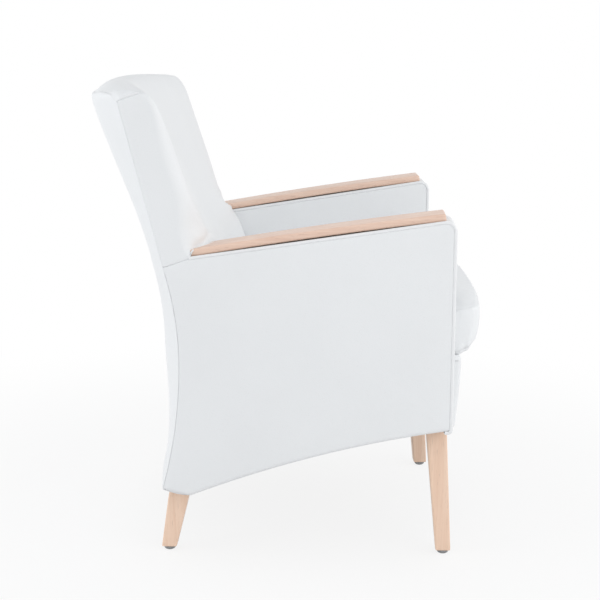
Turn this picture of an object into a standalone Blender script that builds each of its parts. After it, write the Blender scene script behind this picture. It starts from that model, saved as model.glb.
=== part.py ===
"""Low-back upholstered armchair: plywood and beech frame, webbing, foam and sewn leather covers.

Metres, +Z up. The chair faces -Y, +X is the sitter's left and the floor is z = 0.
Three frames are used: the world, one per arm (y runs back along the arm, x points outwards)
and one for the back (z runs up the recline, y points to the rear).
"""

import math

import bmesh
import bpy
from mathutils import Matrix, Vector

MM = 0.001

# Overall sizes
OVERALL_DEPTH = 737 * MM
FRONT_WIDTH = 636 * MM
REAR_WIDTH = 596 * MM
NOSE_OVERHANG = 65.5 * MM

# Shared clearances and sheet thicknesses
GAP = 0.3 * MM
LEATHER = 2 * MM
SOFT_GAP = LEATHER + 2 * GAP
CLOTH = 1.5 * MM
WEB = 2 * MM

# Arms
ARM_THICKNESS = 75 * MM
ARM_FRONT_HEIGHT = 642 * MM
ARM_SLOPE = math.radians(8.4)
CORNER_RADIUS = 15 * MM
PIPING = 6.6 * MM
PIPING_PROUD = 2.5 * MM
PANEL_FRONT_LOW = 258 * MM
PANEL_HEEL_LOW = 128 * MM
PANEL_ARCH = 15 * MM
HEEL_LENGTH = 52 * MM
HEEL_RISE = 11 * MM
WAIST_HEIGHT = 385 * MM
FLARE_TOP = 27 * MM
FLARE_FOOT = 35 * MM
CAP_THICKNESS = 13 * MM
CAP_WIDTH = 60 * MM
CAP_SETBACK = 17 * MM
CAP_BOW = 3 * MM

# Back, measured up the recline from the shoulder that sits on the arms
RECLINE = math.radians(18)
SHOULDER_DEPTH = 53.6 * MM
SHOULDER_LIFT = 4 * MM
BACK_HEIGHT = 294 * MM
SEAM_TOP_DEPTH = 33.3 * MM
RIDGE = 32 * MM
RIDGE_RADIUS = 36 * MM
PINCH_WIDTH = 70 * MM
PINCH_DEPTH = 40 * MM
PINCH_POWER = 1.3
PINCH_HEIGHT = 70 * MM
LUMBAR = 54 * MM
FLARE_START = 37 * MM
FLARE_END = -43 * MM
TUCK_LIFT = 9.3 * MM
BACK_FOOT_LIFT = 16.4 * MM
HOLLOW_TOP = 43 * MM
HOLLOW_LOW = 10 * MM
TOP_ROUND = 36 * MM
TOP_SET_IN = 24 * MM
TOP_CROWN = 5 * MM
REAR_RISE = 3.5 * MM
BOW_TOP = 81.3 * MM
BOW_WAIST = 46 * MM
BOW_FOOT = 14 * MM
BOW_POWER = 2.6
NARROW_CLEAR = 2.2 * MM
NARROW_RADIUS = 20 * MM
STEP = 6 * MM
WEB_BOW = 58 * MM
TOP_RAIL_DROP = 32 * MM
TOP_RAIL_HEIGHT = 22 * MM
TOP_RAIL_DEPTH = 16 * MM
LUMBAR_RAIL = (-40 * MM, -12 * MM)
LUMBAR_RAIL_DEPTH = 20 * MM
BACK_STRAP = 50 * MM

# Frame timber
PLY = 18 * MM
RAIL = 18 * MM
ARM_RAIL_WIDTH = 55 * MM
SEAT_RAIL = 22 * MM
POST_WIDTH = 24 * MM
POST_DEPTH = 28 * MM
CLEAT_HEIGHT = 42 * MM
UPRIGHT_FRONT = 4.5 * MM
PLY_INSET = 14 * MM
PLY_LOW_INSET = 10 * MM

# Seat
RAIL_TOP = 366.3 * MM
FRONT_RAIL_LOW = 262 * MM
REAR_RAIL_SETBACK = 70 * MM
REAR_RAIL_HEIGHT = 66 * MM
LOW_RAIL_LIFT = 24 * MM
LOW_RAIL_HEIGHT = 44 * MM
SEAT_STRAP = 60 * MM
CUSHION_HEIGHT = 118 * MM
CUSHION_CROWN = 30 * MM
CUSHION_BULGE = 12 * MM
CUSHION_CLEAR = 2 * MM
FRONT_PAD = 22 * MM
FRONT_PAD_LOW = 246 * MM
FRONT_PAD_LEAN = 7 * MM
ZIP_LENGTH = 240 * MM
ZIP_HEIGHT = 6 * MM

# Legs and glides
LEG = 38 * MM
FOOT = 28 * MM
GLIDE_HEIGHT = 8 * MM
GLIDE_RADIUS = 11 * MM
FRONT_LEG_SHOULDER = 240 * MM
FRONT_LEG_LEAN = 17 * MM
REAR_LEG_RAKE = 0.2
REAR_LEG_TOP = 260 * MM

# Joints and fasteners
TENON = 10 * MM
TENON_SHOULDER = 10 * MM
LEG_TENON = 18 * MM
PLY_TENON = 12 * MM
BOLT_RADIUS = 4 * MM
BOLT_HEAD = 6.5 * MM
BOLT_REACH = 26 * MM
SCREW_RADIUS = 2 * MM
SCREW_HEAD = 4.5 * MM
SCREW_BITE = 8 * MM
SCREW_SETBACK = 70 * MM
SCREW_FROM_BACK = 95 * MM
SCREW_INBOARD = 9 * MM
SCREW_ROOM = 20 * MM
NAIL_RADIUS = 1.3 * MM
NAIL_LENGTH = 14 * MM

# Derived positions: the depth that the back leaves is the run of the arms
BACK_REACH = SEAM_TOP_DEPTH * math.cos(RECLINE) + BACK_HEIGHT * math.sin(RECLINE)
ARM_RUN = OVERALL_DEPTH - NOSE_OVERHANG - BACK_REACH - BOW_TOP
SHOULDER_RUN = SHOULDER_DEPTH * math.cos(RECLINE)
TAPER = math.atan((FRONT_WIDTH - REAR_WIDTH) / 2 / (ARM_RUN + SHOULDER_RUN))
PIVOT = ARM_RUN / math.cos(TAPER)
ARM_LENGTH = PIVOT + SHOULDER_RUN
ARM_FRONT_Y = -OVERALL_DEPTH / 2 + NOSE_OVERHANG
ARM_MID = (FRONT_WIDTH - ARM_THICKNESS) / 2
HALF_ARM = ARM_THICKNESS / 2
HALF_PLY = PLY / 2
WAIST = ARM_LENGTH - FLARE_TOP
HEEL = WAIST + FLARE_FOOT - HEEL_LENGTH
PIVOT_Z = ARM_FRONT_HEIGHT - PIVOT * math.tan(ARM_SLOPE) + SHOULDER_LIFT
PIVOT_Y = ARM_FRONT_Y + ARM_RUN
HALF_BACK = REAR_WIDTH / 2
TOP_RAIL_TOP = BACK_HEIGHT - TOP_RAIL_DROP
TOP_RAIL = (TOP_RAIL_TOP - TOP_RAIL_HEIGHT, TOP_RAIL_TOP)
TOP_SEAM_Y = PIVOT_Y + BACK_REACH
TOP_SEAM_Z = PIVOT_Z - SEAM_TOP_DEPTH * math.sin(RECLINE) + BACK_HEIGHT * math.cos(RECLINE)
SHOULDER_Z = PIVOT_Z - SHOULDER_DEPTH * math.sin(RECLINE)
TOP_ARCH = BOW_TOP * math.sin(RECLINE) + REAR_RISE * math.cos(RECLINE)
DECK_LOW = RAIL_TOP + WEB + 2 * GAP
DECK_TOP = DECK_LOW + CLOTH
CUSHION_LOW = DECK_TOP + GAP
CUSHION_TOP = CUSHION_LOW + CUSHION_HEIGHT
INNER_LOW = DECK_TOP + 2 * GAP
TUCK_START = (CUSHION_TOP + TUCK_LIFT - PIVOT_Z) / math.cos(RECLINE)
BACK_LOWEST = (DECK_TOP + BACK_FOOT_LIFT - PIVOT_Z) / math.cos(RECLINE)
CAP_REAR = PIVOT - 2 * MM
RAIL_REAR = PIVOT - 18 * MM
BORDER_REAR = PIVOT - 16 * MM
LEG_OUT = -HALF_PLY - GAP
LEG_IN = LEG_OUT - LEG
LEG_FRONT = PIPING - PIPING_PROUD + 2 * GAP

# Clear the scene
for old in list(bpy.data.objects):
    bpy.data.objects.remove(old, do_unlink=True)

PARTS = bpy.data.collections.new("low_back_armchair")
CUTTERS = bpy.data.collections.new("cutters")
CUTTERS.hide_render = True
bpy.context.scene.collection.children.link(PARTS)
bpy.context.scene.collection.children.link(CUTTERS)


# Materials
def material(name, colour, roughness, metallic=0.0):
    made = bpy.data.materials.new(name)
    made.use_nodes = True
    shader = made.node_tree.nodes["Principled BSDF"]
    shader.inputs["Base Color"].default_value = (*colour, 1.0)
    shader.inputs["Roughness"].default_value = roughness
    shader.inputs["Metallic"].default_value = metallic
    return made


LEATHER_WHITE = material("leather_white", (0.80, 0.81, 0.83), 0.45)
PIPING_WHITE = material("piping_white", (0.78, 0.79, 0.82), 0.45)
BEECH = material("beech", (0.72, 0.50, 0.34), 0.45)
PLYWOOD = material("plywood", (0.66, 0.52, 0.36), 0.65)
SOFTWOOD = material("frame_beech", (0.62, 0.46, 0.30), 0.65)
FOAM = material("foam", (0.85, 0.80, 0.62), 0.9)
WEBBING = material("webbing", (0.16, 0.15, 0.14), 0.85)
DECK_CLOTH = material("deck_cloth", (0.74, 0.74, 0.75), 0.9)
DUST_CLOTH = material("dust_cloth", (0.05, 0.05, 0.05), 0.95)
STEEL = material("zinc_steel", (0.62, 0.62, 0.60), 0.35, 1.0)
GLIDE_GREY = material("glide_grey", (0.12, 0.13, 0.14), 0.5)
ZIP_WHITE = material("zip_white", (0.75, 0.75, 0.76), 0.6)


# Frames of the arms and of the back
def empty(name, matrix):
    made = bpy.data.objects.new(name, None)
    made.matrix_world = matrix
    PARTS.objects.link(made)
    return made


def arm_matrix(side):
    place = Matrix.Translation((side * ARM_MID, ARM_FRONT_Y, 0))
    return place @ Matrix.Rotation(side * TAPER, 4, "Z")


ARM_FRAME = {side: arm_matrix(side) for side in (1, -1)}
BACK_FRAME = Matrix.Translation((0, PIVOT_Y, PIVOT_Z)) @ Matrix.Rotation(-RECLINE, 4, "X")
ARM_EMPTY = {1: empty("left_arm_frame", ARM_FRAME[1]), -1: empty("right_arm_frame", ARM_FRAME[-1])}
BACK_EMPTY = empty("back_frame", BACK_FRAME)
SIDE_NAME = {1: "left", -1: "right"}


# Mesh helpers
def finish(bm, name, look, parent=None, smooth=True, collection=PARTS):
    bmesh.ops.remove_doubles(bm, verts=bm.verts, dist=1e-6)
    mesh = bpy.data.meshes.new(name)
    bm.to_mesh(mesh)
    bm.free()
    made = bpy.data.objects.new(name, mesh)
    collection.objects.link(made)
    if look:
        mesh.materials.append(look)
    if parent:
        made.parent = parent
    if smooth:
        mesh.polygons.foreach_set("use_smooth", [True] * len(mesh.polygons))
    return made


def solid(bm, name, look, parent=None, smooth=False):
    bmesh.ops.remove_doubles(bm, verts=bm.verts, dist=1e-6)
    bmesh.ops.recalc_face_normals(bm, faces=bm.faces)
    if bm.calc_volume(signed=True) < 0:
        bmesh.ops.reverse_faces(bm, faces=bm.faces)
    return finish(bm, name, look, parent, smooth)


def box_mesh(bm, low, high):
    centre = (Vector(low) + Vector(high)) / 2
    size = Vector(high) - Vector(low)
    place = Matrix.Translation(centre) @ Matrix.Diagonal((*size, 1))
    return bmesh.ops.create_cube(bm, size=1, matrix=place)["verts"]


def box(name, low, high, look, parent=None):
    bm = bmesh.new()
    box_mesh(bm, low, high)
    return solid(bm, name, look, parent)


def loft(bm, loops):
    rings = [[bm.verts.new(point) for point in loop] for loop in loops]
    count = len(rings[0])
    for low, high in zip(rings, rings[1:]):
        for i in range(count):
            j = (i + 1) % count
            bm.faces.new((low[i], low[j], high[j], high[i]))
    for ring in (rings[0], rings[-1]):
        end = bm.faces.new(ring)
        bmesh.ops.triangulate(bm, faces=[end])
    return rings


def sheet(bm, rows, skip=()):
    """A grid laid through rows of points, without the cells named in skip as (row, column)."""
    columns = len(rows[0])
    grid = bmesh.ops.create_grid(bm, x_segments=columns - 1, y_segments=len(rows) - 1, size=1)["verts"]
    grid = sorted(grid, key=lambda v: (round(v.co.y, 6), round(v.co.x, 6)))
    cells = {}
    for face in bm.faces:
        ids = [grid.index(v) for v in face.verts]
        cells[min(ids) // columns, min(ids) % columns] = face
    for vertex, point in zip(grid, [p for row in rows for p in row]):
        vertex.co = point
    dropped = [cells[cell] for cell in skip]
    bmesh.ops.delete(bm, geom=dropped, context="FACES")


def face_away(bm, point):
    """Turns an open sheet so that its faces look away from the point."""
    bm.normal_update()
    bmesh.ops.recalc_face_normals(bm, faces=bm.faces)
    bm.normal_update()
    lean = sum((f.calc_center_median() - Vector(point)).dot(f.normal) * f.calc_area() for f in bm.faces)
    if lean < 0:
        bmesh.ops.reverse_faces(bm, faces=bm.faces)


def skin(obj, thickness):
    made = obj.modifiers.new("thickness", "SOLIDIFY")
    made.thickness = thickness
    made.offset = -1
    made.use_even_offset = True
    return obj


def plate(name, outline, low, high, side, look):
    """A flat board cut to an outline of (y, z) points, between x = low and x = high in an arm's frame."""
    curve = bpy.data.curves.new(name + "_outline", "CURVE")
    curve.dimensions = "2D"
    curve.fill_mode = "BOTH"
    curve.extrude = (high - low) / 2
    spline = curve.splines.new("POLY")
    spline.points.add(len(outline) - 1)
    for point, (y, z) in zip(spline.points, outline):
        point.co = (y, z, 0, 1)
    spline.use_cyclic_u = True
    drawn = bpy.data.objects.new(name + "_outline", curve)
    bpy.context.scene.collection.objects.link(drawn)
    graph = bpy.context.evaluated_depsgraph_get()
    mesh = bpy.data.meshes.new_from_object(drawn.evaluated_get(graph))
    bm = bmesh.new()
    bm.from_mesh(mesh)
    bpy.data.objects.remove(drawn, do_unlink=True)
    bpy.data.curves.remove(curve)
    bpy.data.meshes.remove(mesh)
    for vertex in bm.verts:
        y, z, x = vertex.co
        vertex.co = (side * ((low + high) / 2 + x), y, z)
    return solid(bm, name, look, ARM_EMPTY[side])


def soften(obj, width, segments=2):
    made = obj.modifiers.new("eased_edges", "BEVEL")
    made.width = width
    made.segments = segments
    made.limit_method = "ANGLE"
    made.angle_limit = math.radians(40)
    return obj


def smoothstep(t):
    t = min(max(t, 0.0), 1.0)
    return t * t * (3 - 2 * t)


def mix(a, b, t):
    return a + (b - a) * t


# Holes, mortises and pins
CUTS = {}


def rod(bm, start, end, radius, segments):
    along = end - start
    turn = along.to_track_quat("Z", "Y").to_matrix().to_4x4()
    place = Matrix.Translation(start + along / 2) @ turn
    bmesh.ops.create_cone(
        bm, cap_ends=True, segments=segments, radius1=radius, radius2=radius, depth=along.length, matrix=place
    )


def hole(targets, start, end, radius, segments):
    """A round hole between two world points, for a pin of the radius."""
    ease = (end - start).normalized() * GAP
    for target in targets:
        bm = CUTS.setdefault(target, bmesh.new())
        rod(bm, start - ease, end + ease, radius + GAP, segments)


def mortise(target, frame, low, high):
    """A square hole, a clearance larger than the tenon between two corners given in a frame."""
    bm = CUTS.setdefault(target, bmesh.new())
    ease = Vector((GAP, GAP, GAP))
    verts = box_mesh(bm, Vector(low) - ease, Vector(high) + ease)
    bmesh.ops.transform(bm, matrix=frame, verts=verts)


def cut_holes():
    for target, bm in CUTS.items():
        bmesh.ops.recalc_face_normals(bm, faces=bm.faces)
        cutter = finish(bm, target + "_holes", None, smooth=False, collection=CUTTERS)
        cut(bpy.data.objects[target], cutter)


def cut(target, cutter):
    cutter.hide_render = True
    cutter.display_type = "WIRE"
    made = target.modifiers.new("cut_" + cutter.name, "BOOLEAN")
    made.operation = "DIFFERENCE"
    made.solver = "EXACT"
    made.object = cutter


# Lines of the arm, in (y, z) of its frame
def arm_top(y):
    return ARM_FRONT_HEIGHT - y * math.tan(ARM_SLOPE)


def panel_low(y):
    t = min(max(y / HEEL, 0.0), 1.0)
    return mix(PANEL_FRONT_LOW, PANEL_HEEL_LOW, t) + 4 * PANEL_ARCH * t * (1 - t)


def rear_edge(z):
    if z >= WAIST_HEIGHT:
        return WAIST + FLARE_TOP * ((z - WAIST_HEIGHT) / (SHOULDER_Z - WAIST_HEIGHT)) ** 2
    return WAIST + FLARE_FOOT * ((WAIST_HEIGHT - z) / (WAIST_HEIGHT - PANEL_HEEL_LOW - HEEL_RISE)) ** 2


def seam_depth(z):
    return mix(SHOULDER_DEPTH, SEAM_TOP_DEPTH, z / BACK_HEIGHT)


def back_point(y, z):
    """A point of the back's frame, as (y, z) of an arm's frame."""
    along = y * math.cos(RECLINE) + z * math.sin(RECLINE)
    return PIVOT + along / math.cos(TAPER), PIVOT_Z - y * math.sin(RECLINE) + z * math.cos(RECLINE)


def arm_point(side, x, y, z):
    return ARM_FRAME[side] @ Vector((side * x, y, z))


def plane_x(x, world_y):
    """World X, on the left side, of the arm-frame plane at x."""
    return ARM_MID + x / math.cos(TAPER) - (world_y - ARM_FRONT_Y) * math.tan(TAPER)


def corner(inset, steps=5):
    """The rounded front top corner of the arm, from the front edge to the top edge."""
    turn = math.pi / 2 + ARM_SLOPE
    radius = max(CORNER_RADIUS - inset, 2 * MM)
    front = inset
    centre_y = front + radius
    top = arm_top(centre_y) - inset / math.cos(ARM_SLOPE)
    centre_z = top - radius / math.cos(ARM_SLOPE)
    points = []
    for i in range(steps + 1):
        angle = math.pi - turn * i / steps
        points.append((centre_y + radius * math.cos(angle), centre_z + radius * math.sin(angle)))
    return points


def low_edge(start, end, inset, steps=8):
    points = []
    for i in range(steps + 1):
        y = mix(start, end, i / steps)
        points.append((y, panel_low(y) + inset))
    return points


def side_outline(front, rear, low):
    """The arm panel seen from the side, drawn in from its edges by the three amounts."""
    foot_z = PANEL_HEEL_LOW + HEEL_RISE + low
    shoulder = SHOULDER_Z - max(front - PIPING, 2 * GAP) - 2 * GAP
    points = corner(front)
    drop = front / math.cos(ARM_SLOPE)
    points.append((CAP_REAR - drop, arm_top(CAP_REAR) - drop))
    y, z = back_point(mix(0, SHOULDER_DEPTH, 0.1), -max(front - PIPING, 0) - 3 * GAP)
    points.append((y, z))
    for i in range(9):
        z = mix(shoulder, foot_z, i / 8)
        points.append((rear_edge(z) - rear, z))
    points += reversed(low_edge(front, HEEL, low))
    return points


# The legs
def leg_frame(front):
    """The centre line of a leg as (y, z) from the foot up, with the square's side at each."""
    if front:
        top = LEG_FRONT + LEG / 2
        return [
            (top - FRONT_LEG_LEAN, GLIDE_HEIGHT, FOOT),
            (top, FRONT_LEG_SHOULDER, LEG),
            (top, RAIL_TOP - GAP, LEG),
        ]
    foot = rear_edge(PANEL_HEEL_LOW + HEEL_RISE) - 4 * MM
    rise = PANEL_HEEL_LOW - 20 * MM
    return [
        (foot, GLIDE_HEIGHT, FOOT),
        (foot - REAR_LEG_RAKE * (rise - GLIDE_HEIGHT), rise, LEG),
        (foot - REAR_LEG_RAKE * (REAR_LEG_TOP - GLIDE_HEIGHT), REAR_LEG_TOP, LEG),
    ]


def leg_line(front, z):
    stations = leg_frame(front)
    for (y0, z0, _), (y1, z1, _) in zip(stations, stations[1:]):
        if z <= z1:
            return mix(y0, y1, (z - z0) / (z1 - z0))
    return stations[-1][0]


LEG_X = (LEG_OUT + LEG_IN) / 2


def make_leg(side, front):
    loops = []
    for y, z, size in leg_frame(front):
        half = size / 2
        x = side * LEG_X
        loop = [(x - half, y - half, z), (x + half, y - half, z)]
        loops.append(loop + [(x + half, y + half, z), (x - half, y + half, z)])
    bm = bmesh.new()
    loft(bm, loops)
    name = f"leg_{'front' if front else 'rear'}_{SIDE_NAME[side]}"
    soften(solid(bm, name, BEECH, ARM_EMPTY[side]), 2.5 * MM)
    foot = arm_point(side, LEG_X, leg_frame(front)[0][0], 0)
    lift = Vector((0, 0, GLIDE_HEIGHT))
    hole([name], foot + lift * 0.5, foot + lift + Vector((0, 0, NAIL_LENGTH)), NAIL_RADIUS, 8)
    make_glide(name.replace("leg", "glide"), foot)


def make_glide(name, foot):
    top = GLIDE_HEIGHT - GAP
    profile = [
        (0, 0),
        (GLIDE_RADIUS * 0.64, 0),
        (GLIDE_RADIUS * 0.87, 1.3 * MM),
        (GLIDE_RADIUS, 4 * MM),
        (GLIDE_RADIUS, top),
        (NAIL_RADIUS, top),
        (NAIL_RADIUS, GLIDE_HEIGHT + NAIL_LENGTH),
        (0, GLIDE_HEIGHT + NAIL_LENGTH),
    ]
    bm = bmesh.new()
    line = [bm.verts.new((r, 0, z)) for r, z in reversed(profile)]
    for a, b in zip(line, line[1:]):
        bm.edges.new((a, b))
    made = finish(bm, name, GLIDE_GREY)
    made.location = foot
    turn = made.modifiers.new("lathe", "SCREW")
    turn.steps = 16
    turn.render_steps = 16
    turn.use_merge_vertices = True
    turn.merge_threshold = 0.0001


# The plywood side frames, with the back uprights in one piece
def frame_outline():
    rail_low = LEATHER + GAP + (RAIL + GAP) / math.cos(ARM_SLOPE)
    front = LEG_FRONT
    points = [(front, panel_low(front) + PLY_LOW_INSET), (front, arm_top(front) - rail_low)]
    points.append((RAIL_REAR + 3 * MM, arm_top(RAIL_REAR + 3 * MM) - rail_low))
    top = BACK_HEIGHT - 24 * MM
    for i in range(3):
        points.append(back_point(-UPRIGHT_FRONT, mix(0, top, i / 2)))
    for i in range(3):
        z = mix(top, 0, i / 2)
        points.append(back_point(seam_depth(z) - PLY_INSET, z))
    low = PANEL_HEEL_LOW + HEEL_RISE + PLY_LOW_INSET
    for i in range(1, 9):
        z = mix(SHOULDER_Z, low, i / 8)
        points.append((rear_edge(z) - PLY_INSET, z))
    points += reversed(low_edge(front, HEEL, PLY_LOW_INSET)[1:])
    return points


def make_side_frame(side):
    name = "side_frame_" + SIDE_NAME[side]
    plate(name, frame_outline(), -HALF_PLY, HALF_PLY, side, PLYWOOD)


# Pieces on top of the side frames
def sloped(side, x, y, lift):
    """A point of the arm's frame at a height above its sloping top, square to it."""
    return (side * x, y + lift * math.sin(ARM_SLOPE), arm_top(y) + lift * math.cos(ARM_SLOPE))


def sloped_bar(name, side, x, y, lift, look):
    bm = bmesh.new()
    loops = []
    for at in y:
        loops.append([sloped(side, x[0], at, lift[0]), sloped(side, x[1], at, lift[0])])
        loops[-1] += [sloped(side, x[1], at, lift[1]), sloped(side, x[0], at, lift[1])]
    loft(bm, loops)
    return solid(bm, name, look, ARM_EMPTY[side])


RAIL_LIFT = (-LEATHER - GAP - RAIL, -LEATHER - GAP)
RAIL_FRONT = CORNER_RADIUS + 2 * MM
SCREW_Y = {"front": SCREW_SETBACK, "rear": PIVOT - SCREW_FROM_BACK}


def screw_stations():
    """Places along the arm on either side of each cap screw, where long strips are divided."""
    return [y + shift for y in SCREW_Y.values() for shift in (-SCREW_ROOM, SCREW_ROOM)]


def make_arm_rail(side):
    half = ARM_RAIL_WIDTH / 2
    name = "arm_rail_" + SIDE_NAME[side]
    stations = [RAIL_FRONT] + screw_stations() + [RAIL_REAR]
    sloped_bar(name, side, (-half, half), stations, RAIL_LIFT, SOFTWOOD)
    bm = bmesh.new()
    ease = GAP
    ends = (RAIL_FRONT - ease, RAIL_REAR + ease)
    loops = []
    for at in ends:
        low, high = RAIL_LIFT[0] - ease, RAIL_LIFT[1] + 30 * MM
        loops.append([sloped(side, -half - ease, at, low), sloped(side, half + ease, at, low)])
        loops[-1] += [sloped(side, half + ease, at, high), sloped(side, -half - ease, at, high)]
    loft(bm, loops)
    bmesh.ops.recalc_face_normals(bm, faces=bm.faces)
    cutter = finish(bm, name + "_room", None, ARM_EMPTY[side], False, CUTTERS)
    cutter.hide_render = True
    cutter.display_type = "WIRE"
    return cutter


POST_IN = LEG_OUT - POST_WIDTH
POST_REAR = LEG_FRONT + POST_DEPTH


def make_front_post(side):
    low = RAIL_TOP
    bm = bmesh.new()
    verts = box_mesh(bm, (side * LEG_OUT, LEG_FRONT, low), (side * POST_IN, POST_REAR, low + 0.1))
    drop = LEATHER + GAP + (RAIL + GAP) / math.cos(ARM_SLOPE)
    for vertex in verts:
        if vertex.co.z > low + 0.05:
            vertex.co.z = arm_top(vertex.co.y) - drop
    solid(bm, "front_post_" + SIDE_NAME[side], SOFTWOOD, ARM_EMPTY[side])


def make_cleat(side):
    rear = (REAR_RAIL_Y - ARM_FRONT_Y) / math.cos(TAPER) - 2 * MM
    front = LEG_FRONT + LEG + GAP
    name = "seat_cleat_" + SIDE_NAME[side]
    first = (side * LEG_OUT, front, RAIL_TOP - CLEAT_HEIGHT)
    last = (side * (LEG_OUT - SEAT_RAIL), rear, RAIL_TOP)
    low = [min(pair) for pair in zip(first, last)]
    high = [max(pair) for pair in zip(first, last)]
    box(name, low, high, SOFTWOOD, ARM_EMPTY[side])


# Arm upholstery
def make_arm_foam(side, room):
    inset = PIPING - PIPING_PROUD + 4 * GAP
    outer = "arm_outer_foam_" + SIDE_NAME[side]
    inner = "arm_inner_foam_" + SIDE_NAME[side]
    skin_in = HALF_ARM - LEATHER - GAP
    low_x = HALF_PLY + GAP
    made = plate(outer, side_outline(inset, LEATHER + 4 * GAP, 2 * GAP), low_x, skin_in, side, FOAM)
    cut(made, room)
    points = corner(inset)
    drop = inset / math.cos(ARM_SLOPE)
    points.append((BORDER_REAR, arm_top(BORDER_REAR) - drop))
    points.append((BORDER_REAR, INNER_LOW))
    points.append((inset, INNER_LOW))
    made = plate(inner, points, -skin_in, -low_x, side, FOAM)
    cut(made, room)
    bm = bmesh.new()
    ease = GAP
    box_mesh(
        bm,
        (min(side * (LEG_OUT + 1 * MM), side * (POST_IN - ease)), LEG_FRONT - 20 * MM, RAIL_TOP - 20 * MM),
        (max(side * (LEG_OUT + 1 * MM), side * (POST_IN - ease)), POST_REAR + ease, ARM_FRONT_HEIGHT),
    )
    bmesh.ops.recalc_face_normals(bm, faces=bm.faces)
    cutter = finish(bm, "front_post_room_" + SIDE_NAME[side], None, ARM_EMPTY[side], False, CUTTERS)
    cut(made, cutter)


def make_arm_covers(side):
    edge = PIPING - PIPING_PROUD + GAP
    outer = side_outline(edge, 0, 0)
    plate("arm_outer_cover_" + SIDE_NAME[side], outer, HALF_ARM - LEATHER, HALF_ARM, side, LEATHER_WHITE)
    points = corner(edge)
    drop = edge / math.cos(ARM_SLOPE)
    points.append((BORDER_REAR, arm_top(BORDER_REAR) - drop))
    points.append((BORDER_REAR, INNER_LOW))
    points.append((edge, INNER_LOW))
    plate("arm_inner_cover_" + SIDE_NAME[side], points, -HALF_ARM, LEATHER - HALF_ARM, side, LEATHER_WHITE)


PIPING_X = HALF_ARM + 1 * MM - PIPING / 2


def make_border(side):
    half = PIPING_X - PIPING / 2 - GAP
    path = [(0, PANEL_FRONT_LOW)] + corner(0, 6)
    path += [(y, arm_top(y)) for y in screw_stations() + [BORDER_REAR]]
    rows = [[(side * x, y, z) for x in (-half, half)] for y, z in path]
    bm = bmesh.new()
    sheet(bm, rows)
    face_away(bm, (0, ARM_LENGTH / 2, ARM_FRONT_HEIGHT / 2))
    skin(finish(bm, "arm_border_" + SIDE_NAME[side], LEATHER_WHITE, ARM_EMPTY[side]), LEATHER)


def tube(name, points, radius, look, parent):
    curve = bpy.data.curves.new(name, "CURVE")
    curve.dimensions = "3D"
    curve.bevel_depth = radius
    curve.bevel_resolution = 1
    curve.use_fill_caps = True
    spline = curve.splines.new("POLY")
    spline.points.add(len(points) - 1)
    for point, at in zip(spline.points, points):
        point.co = (*at, 1)
    curve.materials.append(look)
    made = bpy.data.objects.new(name, curve)
    PARTS.objects.link(made)
    made.parent = parent
    return made


def make_piping(side):
    inset = PIPING / 2 - PIPING_PROUD
    drop = inset / math.cos(ARM_SLOPE)
    for x, kind in ((PIPING_X, "outer"), (-PIPING_X, "inner")):
        rear = CAP_REAR - PIPING if kind == "outer" else BORDER_REAR
        path = [(inset, PANEL_FRONT_LOW + PIPING / 2)] + corner(inset, 6)
        path.append((rear, arm_top(rear) - drop))
        points = [(side * x, y, z) for y, z in path]
        tube(f"piping_{kind}_{SIDE_NAME[side]}", points, PIPING / 2, PIPING_WHITE, ARM_EMPTY[side])


def make_cap(side):
    half = CAP_WIDTH / 2
    loops = []
    count = 10
    for i in range(count + 1):
        t = i / count
        y = mix(CAP_SETBACK, CAP_REAR, t)
        lift = GAP + 4 * CAP_BOW * t * (1 - t)
        loops.append([sloped(side, -half, y, lift), sloped(side, half, y, lift)])
        lift += CAP_THICKNESS
        loops[-1] += [sloped(side, half, y, lift), sloped(side, -half, y, lift)]
    bm = bmesh.new()
    loft(bm, loops)
    made = solid(bm, "arm_cap_" + SIDE_NAME[side], BEECH, ARM_EMPTY[side], True)
    soften(made, 4.5 * MM, 3)
    return made


# The form of the back, in its own frame
def ridge_line(z):
    """How far forward the front edge of the back lies at a height up the recline."""
    forward = -mix(LUMBAR, RIDGE, smoothstep((z - FLARE_END) / (FLARE_START - FLARE_END)))
    if z < TUCK_START:
        forward += (TUCK_START - z) * math.tan(RECLINE)
    over = z - (BACK_HEIGHT - TOP_ROUND)
    if over > 0:
        t = min(over / TOP_ROUND, 1.0)
        forward += TOP_SET_IN * (1 - math.sqrt(1 - t * t))
    return forward


def hollow(z):
    return mix(HOLLOW_LOW, HOLLOW_TOP, smoothstep((z + 60 * MM) / (BACK_HEIGHT + 60 * MM)))


def bow_shape(x, half):
    return 1 - min(abs(x) / half, 1.0) ** BOW_POWER


def arch(x, z):
    return TOP_ARCH * (max(z, 0) / BACK_HEIGHT) ** 2 * bow_shape(x, HALF_BACK)


def narrow_half():
    """Half the width of the back between the arms, clear of both inner covers."""
    return plane_x(-HALF_ARM, PIVOT_Y) - NARROW_CLEAR


def web_half():
    return plane_x(-HALF_PLY, TOP_SEAM_Y)


def web_plane(x, z):
    """The plane of the back webbing, bowed more towards the top rail."""
    half = web_half()
    start = LUMBAR_RAIL[0] + 4 * MM
    lift = max(z - start, 0) / (BACK_HEIGHT - start)
    plane = -UPRIGHT_FRONT + LEATHER + GAP + WEB_BOW * lift * (1 - min(abs(x) / half, 1.0) ** 2)
    if z < FLARE_END:
        plane += (FLARE_END - z) * math.tan(RECLINE)
    return plane


def ridge_round(z, wide):
    """Width, depth and roundness of the ridge, which is pinched where it meets the arm caps."""
    if not wide:
        return NARROW_RADIUS, NARROW_RADIUS, 2.0
    t = smoothstep(z / PINCH_HEIGHT)
    return mix(PINCH_WIDTH, RIDGE_RADIUS, t), mix(PINCH_DEPTH, RIDGE_RADIUS, t), mix(PINCH_POWER, 2.0, t)


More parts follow.
